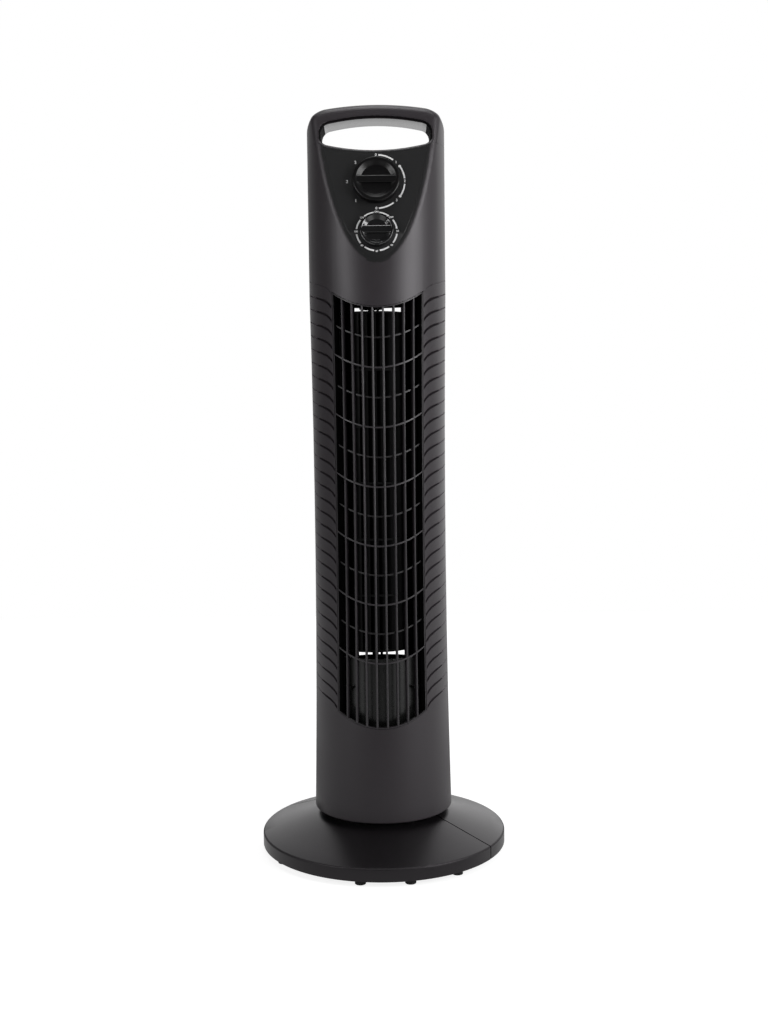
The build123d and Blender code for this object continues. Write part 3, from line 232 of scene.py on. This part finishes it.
def tapping_screw(head, shank, length):
    """One screw along +Z from its head's seat: turned outline, cut cross, rolled thread."""
    dome = [(0.0, head_rise), (0.45, 0.60), (0.75, 0.48), (0.95, 0.26), (1.0, 0.10), (1.0, 0.0)]
    core, threaded, thread_pitch = 0.8 * shank, 0.9 * length, 0.0013
    points = [(r * head, h * head) for r, h in dome] + [(core, 0.0)]
    turns = max(4, int(length / thread_pitch))
    rise = threaded / turns
    for i in range(turns):
        low = -threaded * i / turns
        points += [(core, low - 0.2 * rise), (shank, low - 0.5 * rise), (core, low - 0.8 * rise)]
    points += [(shank * 0.5, -length * 0.95), (0.0, -length)]
    form = bmesh.new()
    ring = [form.verts.new((r, 0.0, z)) for r, z in points]
    lines = [form.edges.new(pair) for pair in zip(ring, ring[1:])]
    bmesh.ops.spin(form, geom=ring + lines, axis=(0, 0, 1), cent=(0, 0, 0), steps=20, angle=math.tau)
    bmesh.ops.remove_doubles(form, verts=form.verts, dist=0.000002)
    bmesh.ops.recalc_face_normals(form, faces=form.faces)
    body = bpy.data.objects.new("screw_blank", bpy.data.meshes.new("screw_blank"))
    form.to_mesh(body.data)
    form.free()
    cross = bmesh.new()
    for turn in (0.0, math.pi / 2):
        place = Matrix.Rotation(turn, 4, "Z") @ Matrix.Translation((0, 0, head_rise * head))
        stretch = Matrix.Diagonal((1.1 * head, 0.26 * head, 0.8 * head, 1))
        blade = bmesh.ops.create_cube(cross, size=1.0, matrix=place @ stretch)
        for vert in blade["verts"]:
            if vert.co.z < 0.5 * head:
                vert.co.x *= 0.45
                vert.co.y *= 0.45
    cutter = bpy.data.objects.new("screw_cross", bpy.data.meshes.new("screw_cross"))
    cross.to_mesh(cutter.data)
    cross.free()
    for item in (body, cutter):
        bpy.context.scene.collection.objects.link(item)
    cut = body.modifiers.new("cross", "BOOLEAN")
    cut.object = cutter
    cut.use_self = True
    shape = bpy.data.meshes.new_from_object(body.evaluated_get(bpy.context.evaluated_depsgraph_get()))
    bpy.data.objects.remove(cutter)
    bpy.data.objects.remove(body)
    for face in shape.polygons:
        face.use_smooth = True
    shape.set_sharp_from_angle(angle=math.radians(35.0))
    return shape


def tree_with(name, sizes):
    """An empty node tree with named inputs, and a wire for each of them."""
    tree = bpy.data.node_groups.new(name, "GeometryNodeTree")
    for label, kind in sizes.items():
        tree.interface.new_socket(name=label, in_out="INPUT", socket_type="NodeSocket" + kind)
    tree.interface.new_socket(name="Piece", in_out="OUTPUT", socket_type="NodeSocketGeometry")
    entry = tree.nodes.new("NodeGroupInput")
    tree.nodes.new("NodeGroupOutput")
    return tree, {label: Wire(tree, entry.outputs[label]) for label in sizes}


def close_tree(tree, geometry, finish):
    """Ends a tree: instances made real, finish set."""
    real = geometry.node("GeometryNodeRealizeInstances", None, {"Geometry": geometry})
    done = real.node("GeometryNodeSetMaterial", None, {"Geometry": real, "Material": finish})
    tree.links.new(done.socket, tree.nodes["Group Output"].inputs[0])


def grow(name, tree, values, carrier=None):
    """Runs a tree once and keeps what it makes as a plain mesh object."""
    piece = bpy.data.objects.new(name, carrier or bpy.data.meshes.new(name))
    bpy.context.scene.collection.objects.link(piece)
    step = piece.modifiers.new("grow", "NODES")
    step.node_group = tree
    for item in tree.interface.items_tree:
        if item.in_out == "INPUT" and item.name in values:
            step[item.identifier] = values[item.name]
    plain = bpy.data.meshes.new_from_object(piece.evaluated_get(bpy.context.evaluated_depsgraph_get()))
    piece.modifiers.clear()
    piece.data = plain
    return piece


screw_sizes = {"Points": "Geometry", "Screw": "Object", "Finish": "Material"}
screw_tree, size = tree_with("screws_on_points", screw_sizes)
make = size["Points"].node
lay = make("GeometryNodeInputNamedAttribute", {"data_type": "FLOAT_VECTOR"}, {"Name": "lay"})
turned = make("FunctionNodeAlignRotationToVector", {"axis": "Z"}, {"Vector": lay})
master = make("GeometryNodeObjectInfo", None, {"Object": size["Screw"]}, "Geometry")
placed = make("GeometryNodeInstanceOnPoints", None,
              {"Points": size["Points"], "Instance": master, "Rotation": turned})
close_tree(screw_tree, placed, size["Finish"])
black_oxide = metal("black_oxide_steel", (0.075, 0.075, 0.08), 0.42)


def screw_set(node, head, shank, length, way):
    """Screws where the node's own heads are, with their heads towards way."""
    islands = bmesh.new()
    islands.from_mesh(frame["nodes"][node].data)
    bmesh.ops.remove_doubles(islands, verts=islands.verts, dist=weld)
    seats = []
    left = set(islands.verts)
    while left:
        group = {left.pop()}
        edge = list(group)
        while edge:
            near = [e.other_vert(v) for v in edge for e in v.link_edges]
            edge = [v for v in set(near) if v in left]
            left.difference_update(edge)
            group.update(edge)
        spots = [v.co.copy() for v in group]
        high = max(p.dot(way) for p in spots)
        crown = [p for p in spots if p.dot(way) > high - 0.0001]
        seats.append(sum(crown, Vector()) / len(crown) - head_rise * head * way)
    islands.free()
    points = bpy.data.meshes.new(node + "_points")
    points.from_pydata([tuple(seat) for seat in seats], [], [])
    course = points.attributes.new("lay", "FLOAT_VECTOR", "POINT")
    course.data.foreach_set("vector", [c for _ in seats for c in way])
    blank = bpy.data.objects.new("screw_master", tapping_screw(head, shank, length))
    bpy.context.scene.collection.objects.link(blank)
    piece = grow(node + "_set", screw_tree, {"Screw": blank, "Finish": black_oxide}, points)
    bpy.data.objects.remove(blank)
    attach(piece, body_of[node])
    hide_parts(node)
    return piece


down = Vector((0, 0, -1))
rearward = Vector((0, 1, 0))
screw_set("neck_screws", tapping_head, tapping_shank, 0.0075, down)

# Swivel gear under the column: a moulded floor with its tube, a retainer plate, a small geared
# motor in a zinc can on the floor, and an acetal crank whose pin runs in the neck's slot.
inner_abs = moulded("inner_black_abs", (0.0035, 0.0035, 0.0037), 0.62, grain=600.0,
                    constants={"Specular IOR Level": 0.2})
zinc_can = metal("zinc_plated_can", (0.62, 0.62, 0.6), 0.36)
bright_steel = metal("drawn_steel", (0.6, 0.6, 0.61), 0.24, scratch=(500.0, 500.0, 30.0))
coat(inner_abs, "column_floor", "swivel_retainer")
coat(zinc_can, "oscillation_motor")
coat(bright_steel, "oscillation_shaft")
coat(natural_acetal, "oscillation_crank")
screw_set("column_floor_screws", tapping_head, tapping_shank, 0.014, down)
plate_head, plate_shank = 0.0019, 0.0012
screw_set("retainer_screws", plate_head, plate_shank, 0.010, down)
screw_set("oscillation_motor_screws", tapping_head, tapping_shank, 0.0044, -down)

# Electrics on the floor: a run capacitor in a polypropylene case, a nylon terminal block, and
# the sleeved loom that climbs the back of the column to the speed switch.
case_grey = moulded("capacitor_case", (0.55, 0.56, 0.57), 0.42, grain=250.0, drift=0.05)
loom_sleeve = moulded("loom_sleeve", (0.015, 0.015, 0.016), 0.6, grain=900.0, relief=0.0001)
coat(case_grey, "capacitor")
coat(natural_acetal, "terminal_block")
coat(loom_sleeve, "wiring_loom")

# Motor: a shaded stack of varnished laminations with copper winding heads, two die-cast end
# brackets with bronze bushes, hung from the partition on rubber grommets.
cast_alloy = metal("die_cast_alloy", (0.56, 0.56, 0.57), 0.5, scratch=(150.0, 150.0, 150.0))
sintered_bronze = metal("sintered_bronze", (0.5, 0.34, 0.14), 0.45)
copper_head = metal("varnished_copper", (0.52, 0.22, 0.09), 0.3, scratch=(60.0, 60.0, 900.0))
lamination = metal("varnished_laminations", (0.3, 0.3, 0.31), 0.4, scratch=(3.0, 3.0, 1400.0))
coat(cast_alloy, "motor_lower_bracket", "motor_upper_bracket")
coat(sintered_bronze, "motor_bearings", "upper_bearing_bush")
coat(copper_head, "motor_windings")
coat(lamination, "motor_stator", "motor_rotor")
coat(bright_steel, "motor_shaft", "blower_top_shaft")
coat(foot_rubber, "motor_mount_grommets", "upper_bearing_rubber")
coat(black_oxide, "hub_set_screw")
screw_set("motor_screws", tapping_head, tapping_shank, 0.02, -down)

# Blower and duct: a dark glass-filled wheel of thirty blades stacked between rings, in a duct of
# thin black walls. The partition under it carries a curved wall that hides the motor.
wheel_black = moulded("glass_filled_wheel", (0.003, 0.003, 0.0032), 0.65, grain=800.0,
                      constants={"Specular IOR Level": 0.12})
dress("blower_wheel", wheel_black)
cover_abs = moulded("motor_cover_abs", (0.0060, 0.0064, 0.0060), 0.29, grain=900.0,
                    relief=0.000008, drift=0.1)
dress("motor_cover", cover_abs)
coat(inner_abs, "duct_top_plate", "volute_wall", "stabiliser_wall")

# Column shells: the front one carries the gills and the control face, the rear one the intake
# slots and the sloping cap. Both are charcoal ABS with a satin grain, screwed together from
# behind. The gill grooves' faces near the sides are painted paler, as painted light where they run out.
shell_tone = (0.0238, 0.0200, 0.0230)
shell_abs = moulded("column_charcoal_abs", shell_tone, 0.45, grain=1500.0, relief=0.00002,
                    constants={"Specular Tint": (0.99, 0.97, 1.0, 1.0)})
gill_end_painted_light = moulded("gill_end_painted_light_abs", (0.120, 0.106, 0.117), 0.45, grain=1500.0, relief=0.00002)
gill_low, gill_high = 0.14, 0.62
gill_floor = 0.0680
fade_from, fade_to = 64.0, 88.5


def azimuth(spot):
    """Degrees round the column from its front, to either side."""
    return abs(math.degrees(math.atan2(spot.x, -spot.y)))


front_shell = dress("front_shell", shell_abs)
front_shell.data.materials.append(gill_end_painted_light)
# Painted light: groove faces near the sides take a far paler tone, so their shade reads as lit.
for face in front_shell.data.polygons:
    spot = face.center
    groove = gill_low < spot.z < gill_high and math.hypot(spot.x, spot.y) > gill_floor
    tapered = abs(face.normal.z) > 0.2 and fade_from < azimuth(spot) < fade_to
    face.material_index = int(groove and tapered)
dress("rear_shell", shell_abs)
screw_set("shell_screws", tapping_head, tapping_shank, 0.022, rearward)

# Front grille: one moulding of upright bars on bowed rings, with finer rings behind them, all in
# a thin frame that snaps into the front shell from inside. It follows the column's waist.
column_radius = 0.0738
hem, waist, shoulder = (0.0759, 0.04599), (0.0718, 0.33500), (0.0738, 0.605)


def circle_through(a, b, c):
    """Centre and radius of the circle through three points."""
    d = 2 * (a[0] * (b[1] - c[1]) + b[0] * (c[1] - a[1]) + c[0] * (a[1] - b[1]))
    s = [p[0] ** 2 + p[1] ** 2 for p in (a, b, c)]
    x = (s[0] * (b[1] - c[1]) + s[1] * (c[1] - a[1]) + s[2] * (a[1] - b[1])) / d
    z = (s[0] * (c[0] - b[0]) + s[1] * (a[0] - c[0]) + s[2] * (b[0] - a[0])) / d
    return x, z, math.hypot(a[0] - x, a[1] - z)


arc_x, arc_z, arc_radius = circle_through(hem, waist, shoulder)
grille_sizes = {
    "Bars": 8, "Bar Width": 0.0020, "Bar Depth": 0.0050, "Bar Inset": 0.0004, "Half Width": 0.05132,
    "Low": 0.14754, "High": 0.58895, "Frame": 0.0010, "Frame Depth": 0.0066, "Bow": 0.96,
    "Rings": 6, "Ring First": 0.5266, "Ring Pitch": 0.06194, "Ring Height": 0.0016,
    "Radius": column_radius,
}
bar_nose = 0.0006
ring_depth, ring_inset = 0.0027, 0.00165
fine_depth, fine_inset = 0.0024, 0.0046
frame_from = 39.0
fine_from = 0.0032
kinds = {label: "Int" if label in ("Bars", "Rings") else "Float" for label in grille_sizes}
grille_tree, size = tree_with("bowed_grille", {**kinds, "Finish": "Material"})
make = size["Bars"].node


def vector(x, y, z):
    return make("ShaderNodeCombineXYZ", None, {0: x, 1: y, 2: z})


def bar_block(wide, deep, tall, across, along, nose=0.0):
    """A flat-drawn block: x runs round the column, y goes inward, z is up; nose rounds its front."""
    counts = {"Vertices X": across, "Vertices Y": 3, "Vertices Z": along}
    block = make("GeometryNodeMeshCube", None, {"Size": vector(wide, deep, tall), **counts})
    spot = make("ShaderNodeSeparateXYZ", None, {0: make("GeometryNodeInputPosition")})
    x, y, z = (Wire(grille_tree, spot.socket.node.outputs[i]) for i in range(3))
    front = y.math("LESS_THAN", y, 0.0)
    rounded = vector(0.0, front * nose * (x / wide * 2.0) ** 2.0, 0.0)
    return make("GeometryNodeSetPosition", None, {"Geometry": block, "Offset": rounded})


def lay_out(block, count, start, step):
    """Copies of a block in an even row."""
    row = make("GeometryNodeMeshLine", None, {"Count": count, "Start Location": start, "Offset": step})
    return make("GeometryNodeInstanceOnPoints", None, {"Points": row, "Instance": block})


def at(block, x, y, z):
    """One block moved to a place."""
    return make("GeometryNodeTransform", None, {"Geometry": block, "Translation": vector(x, y, z)})


tall = size["High"] - size["Low"]
middle = (size["High"] + size["Low"]) * 0.5
pitch = size["Half Width"] * 2.0 / (size["Bars"] + 1.0)
half = size["Half Width"]
wide = half * 2.0
inward = size["Bar Inset"]
fine_first = size["Ring First"] + size["Ring Pitch"] * 0.5
downward = vector(0.0, 0.0, size["Ring Pitch"] * -1.0)
bar = bar_block(size["Bar Width"], size["Bar Depth"], tall, 5, 64, bar_nose)
bar_start = vector(pitch - half, inward + size["Bar Depth"] * 0.5, middle)
bars = lay_out(bar, size["Bars"], bar_start, vector(pitch, 0.0, 0.0))
ring = bar_block(wide, ring_depth, size["Ring Height"], 48, 3)
rings = lay_out(ring, size["Rings"], vector(0.0, inward + ring_inset, size["Ring First"]), downward)
thin = bar_block(wide, fine_depth, size["Ring Height"], 48, 3)
fine = lay_out(thin, size["Rings"], vector(0.0, inward + fine_inset, fine_first), downward)
deep = inward + size["Frame Depth"] * 0.5
side = bar_block(size["Frame"], size["Frame Depth"], tall, 3, 64)
rail = bar_block(wide, size["Frame Depth"], size["Frame"], 48, 3)
inset = size["Frame"] * 0.5
edges = [at(side, inset - half, deep, middle), at(side, half - inset, deep, middle),
         at(rail, 0.0, deep, size["Low"] + inset), at(rail, 0.0, deep, size["High"] - inset)]
flat = make("GeometryNodeJoinGeometry", None, {"Geometry": [bars, rings, fine] + edges})
flat = make("GeometryNodeRealizeInstances", None, {"Geometry": flat})
spot = make("ShaderNodeSeparateXYZ", None, {0: make("GeometryNodeInputPosition")})
x, y, z = (Wire(grille_tree, spot.socket.node.outputs[i]) for i in range(3))


def radius_at(height):
    """The waisted column's radius at a height."""
    sink = (height - arc_z) ** 2.0
    return arc_x - (sink * -1.0 + arc_radius ** 2).math("SQRT", sink * -1.0 + arc_radius ** 2)


turn = x / size["Radius"]
cosine = turn.math("COSINE", turn)
sine = turn.math("SINE", turn)
seat = radius_at(z)
across = (seat - y) * sine
lifted = z + size["Bow"] * (seat - across.math("SQRT", seat ** 2.0 - across ** 2.0))
reach = radius_at(lifted) - y
wrapped = vector(reach * sine, reach * cosine * -1.0, lifted)
curved = make("GeometryNodeSetPosition", None, {"Geometry": flat, "Position": wrapped})
close_tree(grille_tree, curved, size["Finish"])
grille_abs = moulded("grille_charcoal_abs", (0.030, 0.0265, 0.030), 0.40, grain=1500.0,
                     relief=0.00001)
# Painted shade: the fine rings behind the bars take half the grille's tone.
fine_ring_painted_shade = moulded("grille_fine_ring_painted_shade", (0.015, 0.0135, 0.015), 0.45, grain=1500.0,
                   relief=0.00001)
grille = grow("front_grille_bars", grille_tree, {**grille_sizes, "Finish": grille_abs})
grille.data.materials.clear()
for finish in (grille_abs, inner_abs, fine_ring_painted_shade):
    grille.data.materials.append(finish)
for face in grille.data.polygons:
    face.use_smooth = True
    spot = face.center
    out = Vector((spot.x, spot.y, 0.0))
    surface = arc_x - math.sqrt(arc_radius ** 2 - (spot.z - arc_z) ** 2)
    outward = face.normal.dot(out.normalized()) > 0.5
    # Painted shade: the frame's side walls take the near-black inner finish.
    frame_wall_painted_shade = azimuth(spot) > frame_from and not outward
    fine_ring = surface - out.length > fine_from and (outward or abs(face.normal.z) > 0.5)
    face.material_index = 1 if frame_wall_painted_shade else 2 * int(fine_ring)
grille.data.set_sharp_from_angle(angle=math.radians(40.0))
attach(grille, "column")
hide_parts("front_grille")

# Carrying hoop: a hollow front arch pegged on the shell's shoulders and a cover screwed to it
# from behind, in the same satin ABS. The slot's roof is polished where the fingers go, and its
# ends and brow are painted near-black as shade.
grip_polish = moulded("hoop_grip_polish", shell_tone, 0.12, grain=1500.0, relief=0.000004)
slot_painted_shade = moulded("hoop_slot_painted_shade", (0.0030, 0.0027, 0.0030), 0.8,
                    constants={"Specular IOR Level": 0.08})
slot_half, slot_sill, brow_low, roof_low = 0.0600, 0.75, 0.765, 0.772
facing_down = -0.75
for node in ("hoop_front", "handle_rear_cover"):
    piece = dress(node, shell_abs, crease=34.0)
    piece.data.materials.append(grip_polish)
    piece.data.materials.append(slot_painted_shade)
    for face in piece.data.polygons:
        spot, way = face.center, face.normal
        roof = way.z < facing_down and spot.z > roof_low
        in_slot = abs(spot.x) < slot_half and spot.z > slot_sill
        # Painted shade: the slot's end walls and the brow over its front take the near-black finish.
        end = in_slot and way.x * spot.x < 0.0 and abs(way.x) > 0.3
        brow = in_slot and spot.z > brow_low and facing_down <= way.z < -0.25 and way.y < 0.0
        face.material_index = 1 if roof else 2 * int(end or brow)
screw_set("handle_cover_screws", tapping_head, tapping_shank, 0.026, rearward)

# Control panel: a smoother black ABS plate let into the tilted face, whose border is as smooth.
# The dials are pad printed in white ink: broken rings, dots, plain numbers and short words.
panel_abs = moulded("panel_black_abs", (0.012, 0.012, 0.0125), 0.38, grain=1800.0, relief=0.00001)
dress("control_panel", panel_abs)
tilt = math.radians(14.5)
panel_tip, border_low = 0.6344, 0.63
panel_way = Vector((0.0, -math.cos(tilt), math.sin(tilt)))
front_shell.data.materials.append(panel_abs)
for face in front_shell.data.polygons:
    if face.center.z > border_low and face.normal.dot(panel_way) > 0.985:
        face.material_index = 2
panel_place = Matrix(((1, 0, 0, 0), (0, math.sin(tilt), -math.cos(tilt), -column_radius),
                      (0, math.cos(tilt), math.sin(tilt), panel_tip), (0, 0, 0, 1)))
timer_up, speed_up = 0.0326, 0.0877
white_ink = moulded("white_pad_print", (0.78, 0.78, 0.78), 0.5, grain=900.0, relief=0.000005,
                    drift=0.06)
ink_thick = 0.00008
ink_sizes = {label: "Float" for label in ("Radius", "Stroke", "First", "Sweep", "Step")}
ink_tree, size = tree_with("printed_arcs", {**ink_sizes, "Count": "Int", "Finish": "Material"})
make = size["Count"].node
counts = {"Vertices X": 25, "Vertices Y": 2, "Vertices Z": 2}
strip = make("GeometryNodeMeshCube", None, {"Size": (1.0, 1.0, ink_thick), **counts})
spot = make("ShaderNodeSeparateXYZ", None, {0: make("GeometryNodeInputPosition")})
x, y, z = (Wire(ink_tree, spot.socket.node.outputs[i]) for i in range(3))
angle = size["First"] + (x + 0.5) * size["Sweep"]
reach = size["Radius"] + y * size["Stroke"]
arc_spot = make("ShaderNodeCombineXYZ", None,
                {0: reach * angle.math("SINE", angle), 1: reach * angle.math("COSINE", angle), 2: z})
arc = make("GeometryNodeSetPosition", None, {"Geometry": strip, "Position": arc_spot})
row = make("GeometryNodeMeshLine", None, {"Count": size["Count"], "Offset": (0.0, 0.0, 0.0)})
order = make("GeometryNodeInputIndex")
spin = make("ShaderNodeCombineXYZ", None, {2: order * size["Step"] * -1.0})
arcs = make("GeometryNodeInstanceOnPoints", None, {"Points": row, "Instance": arc, "Rotation": spin})
close_tree(ink_tree, arcs, size["Finish"])
font_size_per_height, font_spread = 1.42, 0.00008
print_pieces = []


def on_dial(radius, degrees, up):
    """The place at a radius and a clock angle round a dial that is up the panel."""
    turn = math.radians(degrees)
    across, along = radius * math.sin(turn), up + radius * math.cos(turn)
    return panel_place @ Matrix.Translation((across, along, 0.0))


def printed(radius, stroke, first, sweep, up, count=1, step=0.0, centre=(0.0, 0.0)):
    """Arcs of one radius round a dial, or round a place on it."""
    values = {"Radius": radius, "Stroke": stroke, "Count": count, "Finish": white_ink,
              "First": math.radians(first), "Sweep": math.radians(sweep), "Step": math.radians(step)}
    piece = grow("dial_arc", ink_tree, values)
    piece.data.transform(on_dial(*centre, up))
    print_pieces.append(piece)


def lettered(text, height, radius, degrees, up):
    """A number or word printed upright at a place round a dial."""
    sign = bpy.data.curves.new("dial_text", "FONT")
    sign.body = text
    sign.size = height * font_size_per_height
    sign.align_x = "CENTER"
    sign.align_y = "CENTER"
    sign.extrude = ink_thick / 2
    sign.offset = font_spread
    holder = bpy.data.objects.new("dial_text", sign)
    bpy.context.scene.collection.objects.link(holder)
    shape = bpy.data.meshes.new_from_object(holder.evaluated_get(bpy.context.evaluated_depsgraph_get()))
    bpy.data.objects.remove(holder)
    shape.transform(on_dial(radius, degrees, up))
    shape.materials.clear()
    shape.materials.append(white_ink)
    piece = bpy.data.objects.new("dial_text", shape)
    bpy.context.scene.collection.objects.link(piece)
    print_pieces.append(piece)


dial_step = 45.0
ring_radius, ring_stroke = 0.0209, 0.0017
printed(ring_radius, ring_stroke, 8.0, 29.0, timer_up, count=8, step=dial_step)
for order, text in enumerate(("ON", "OFF", "20", "40", "60", "80", "100", "120")):
    lettered(text, 0.0019, ring_radius + 0.0006, dial_step * order, timer_up)
sweep_radius, sweep_stroke = 0.0298, 0.0016
for first, sweep in ((5.0, 32.0), (56.0, 28.0), (96.0, 28.0), (143.0, 32.0)):
    printed(sweep_radius, sweep_stroke, first, sweep, speed_up)
dot_radius, dot_stroke = 0.0007, 0.0014
for degrees in (56.0, 124.0):
    printed(dot_radius, dot_stroke, 0.0, 360.0, speed_up, centre=(sweep_radius, degrees))
for order, text in enumerate(("0", "1", "2", "3", "0")):
    lettered(text, 0.0027, sweep_radius, dial_step * order, speed_up)
figure_radius, figure_first = 0.0300, 225.0
for order, text in enumerate(("1", "2", "3")):
    lettered(text, 0.0033, figure_radius, figure_first + dial_step * order, speed_up)
joined = bmesh.new()
for piece in print_pieces:
    joined.from_mesh(piece.data)
    bpy.data.objects.remove(piece)
dial_print = bpy.data.objects.new("dial_print", bpy.data.meshes.new("dial_print"))
bpy.context.scene.collection.objects.link(dial_print)
joined.to_mesh(dial_print.data)
joined.free()
dial_print.data.materials.append(white_ink)
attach(dial_print, "column")

# Controls: a rotary switch and a clockwork timer nutted to the panel wall, their spindles, a
# matt speed knob with a bowl and grip, and a polished timer knob with a grip across its dome.
knob_matt = moulded("speed_knob_abs", (0.0030, 0.0028, 0.0031), 0.32, grain=1700.0, relief=0.000015,
                    constants={"Specular IOR Level": 0.30})
knob_gloss = moulded("timer_knob_gloss", (0.006, 0.006, 0.0065), 0.18, grain=200.0, relief=0.000002,
                     constants={"Coat Weight": 0.6, "Coat Roughness": 0.05})
coat(natural_acetal, "speed_switch", "timer_unit")
coat(bright_steel, "control_nuts", "speed_spindle", "timer_spindle")
knob_edge = 0.0004
dress("speed_knob", knob_matt, ease=knob_edge)
dress("timer_knob", knob_gloss, ease=knob_edge)

# Studio: a plain white sweep of paper that keeps the fan's soft shadow. Its glow to the eye is cut
# under the base as a painted shadow, and a painted glow seen only in the body's reflections lies near
# the foot and at the sides.
floor_half = 1.6
floor_form = bmesh.new()
bmesh.ops.create_grid(floor_form, x_segments=1, y_segments=1, size=floor_half)
floor = bpy.data.objects.new("studio_floor", bpy.data.meshes.new("studio_floor"))
bpy.context.scene.collection.objects.link(floor)
floor_form.to_mesh(floor.data)
floor_form.free()
paper = bpy.data.materials.new("white_paper")
paper.use_nodes = True
tree = paper.node_tree
for item in list(tree.nodes):
    tree.nodes.remove(item)
seen = Wire(tree).node("ShaderNodeLightPath", out="Is Camera Ray")
mirrored = Wire(tree, seen.socket.node.outputs["Is Glossy Ray"])
spot = seen.node("ShaderNodeTexCoord", out="Object")
place = seen.node("ShaderNodeVectorMath", {"operation": "LENGTH"}, {0: spot}, "Value")
aside = seen.node("ShaderNodeSeparateXYZ", None, {0: spot})


def eased(value, start, end, low, high):
    """Goes smoothly from low to high while value goes from start to end."""
    ends = {"From Min": start, "From Max": end, "To Min": low, "To Max": high}
    return value.node("ShaderNodeMapRange", {"interpolation_type": "SMOOTHSTEP"}, {"Value": value, **ends})


# Painted shadow: the glow to the eye is cut under the base.
fade = eased(place, 0.15, 0.8, 0.85, 1.0) * eased(place, 0.100, 0.116, 0.0, 1.0)
# Painted reflection: a glow seen only in reflections, strongest by the foot and at the sides.
near = eased(place, 0.18, 0.4, 0.42, 0.03)
left = eased(aside * -1.0, 0.2, 0.55, 0.0, 0.6)
right = eased(aside, 0.2, 0.55, 0.0, 0.8)
strength = seen * fade + mirrored * (near + left + right)
glow = seen.node("ShaderNodeEmission", None, {"Color": (1.0, 1.0, 1.0, 1.0), "Strength": strength})
chalk = seen.node("ShaderNodeBsdfDiffuse", None, {"Color": (0.3, 0.3, 0.3, 1.0)})
both = seen.node("ShaderNodeAddShader", None, {0: glow, 1: chalk})
end = tree.nodes.new("ShaderNodeOutputMaterial")
tree.links.new(both.socket, end.inputs["Surface"])
floor.data.materials.append(paper)

# Light: a white surround behind, two tall soft boxes at the sides, the right one larger, and
# a weak overhead one.
world = bpy.data.worlds.new("studio_surround")
bpy.context.scene.world = world
world.use_nodes = True
tree = world.node_tree
for item in list(tree.nodes):
    tree.nodes.remove(item)
seen = Wire(tree).node("ShaderNodeLightPath", out="Is Camera Ray")
way = seen.node("ShaderNodeSeparateXYZ", None, {0: seen.node("ShaderNodeTexCoord", out="Generated")})
deep = Wire(tree, way.socket.node.outputs[1])
level = eased(way, -0.75, 0.0, 0.3, 1.3) * eased(deep, 0.0, 0.8, 0.06, 1.0)
level = level + seen * (1.0 - level)
sky = seen.node("ShaderNodeBackground", None, {"Color": (1.0, 1.0, 1.0, 1.0), "Strength": level})
end = tree.nodes.new("ShaderNodeOutputWorld")
tree.links.new(sky.socket, end.inputs["Surface"])


def soft_box(name, degrees, height, distance, size, power):
    """A soft box at an angle round the fan, turned to its middle."""
    lamp = bpy.data.lights.new(name, "AREA")
    lamp.shape = "RECTANGLE"
    lamp.size, lamp.size_y = size
    lamp.energy = power
    turn = math.radians(degrees)
    spot = Vector((distance * math.sin(turn), -distance * math.cos(turn), height))
    holder = bpy.data.objects.new(name, lamp)
    bpy.context.scene.collection.objects.link(holder)
    aim = Vector((0.0, 0.0, aim_height)) - spot
    holder.matrix_world = Matrix.Translation(spot) @ aim.to_track_quat("-Z", "Y").to_matrix().to_4x4()


aim_height = 0.55
soft_box("left_box", -52.0, 0.9, 1.5, (0.36, 0.9), 9.5)
soft_box("right_box", 56.0, 0.9, 1.5, (0.8, 0.9), 20.5)
soft_box("top_box", 0.0, 2.1, 0.12, (0.6, 0.6), 7.5)

# Camera: the photograph's close viewpoint, square to the front, a little above the fan's middle
# and tilted slightly down.
lens = bpy.data.cameras.new("photo_view")
sensor, picture_height, focal_pixels, shift_pixels = 36.0, 1024.0, 1183.0, 3.9
lens.lens = focal_pixels * sensor / picture_height
lens.sensor_width = sensor
lens.shift_x = shift_pixels / picture_height
camera = bpy.data.objects.new("photo_view", lens)
bpy.context.scene.collection.objects.link(camera)
pitch_down, roll = math.radians(4.1), math.radians(-0.70)
eye_distance, eye_height = 1.3, 0.465
camera.matrix_world = (Matrix.Translation((0.0, -eye_distance, eye_height))
                       @ Matrix.Rotation(math.radians(90.0) - pitch_down, 4, "X")
                       @ Matrix.Rotation(roll, 4, "Z"))
bpy.context.scene.camera = camera
bpy.context.scene.view_settings.view_transform = "Standard"
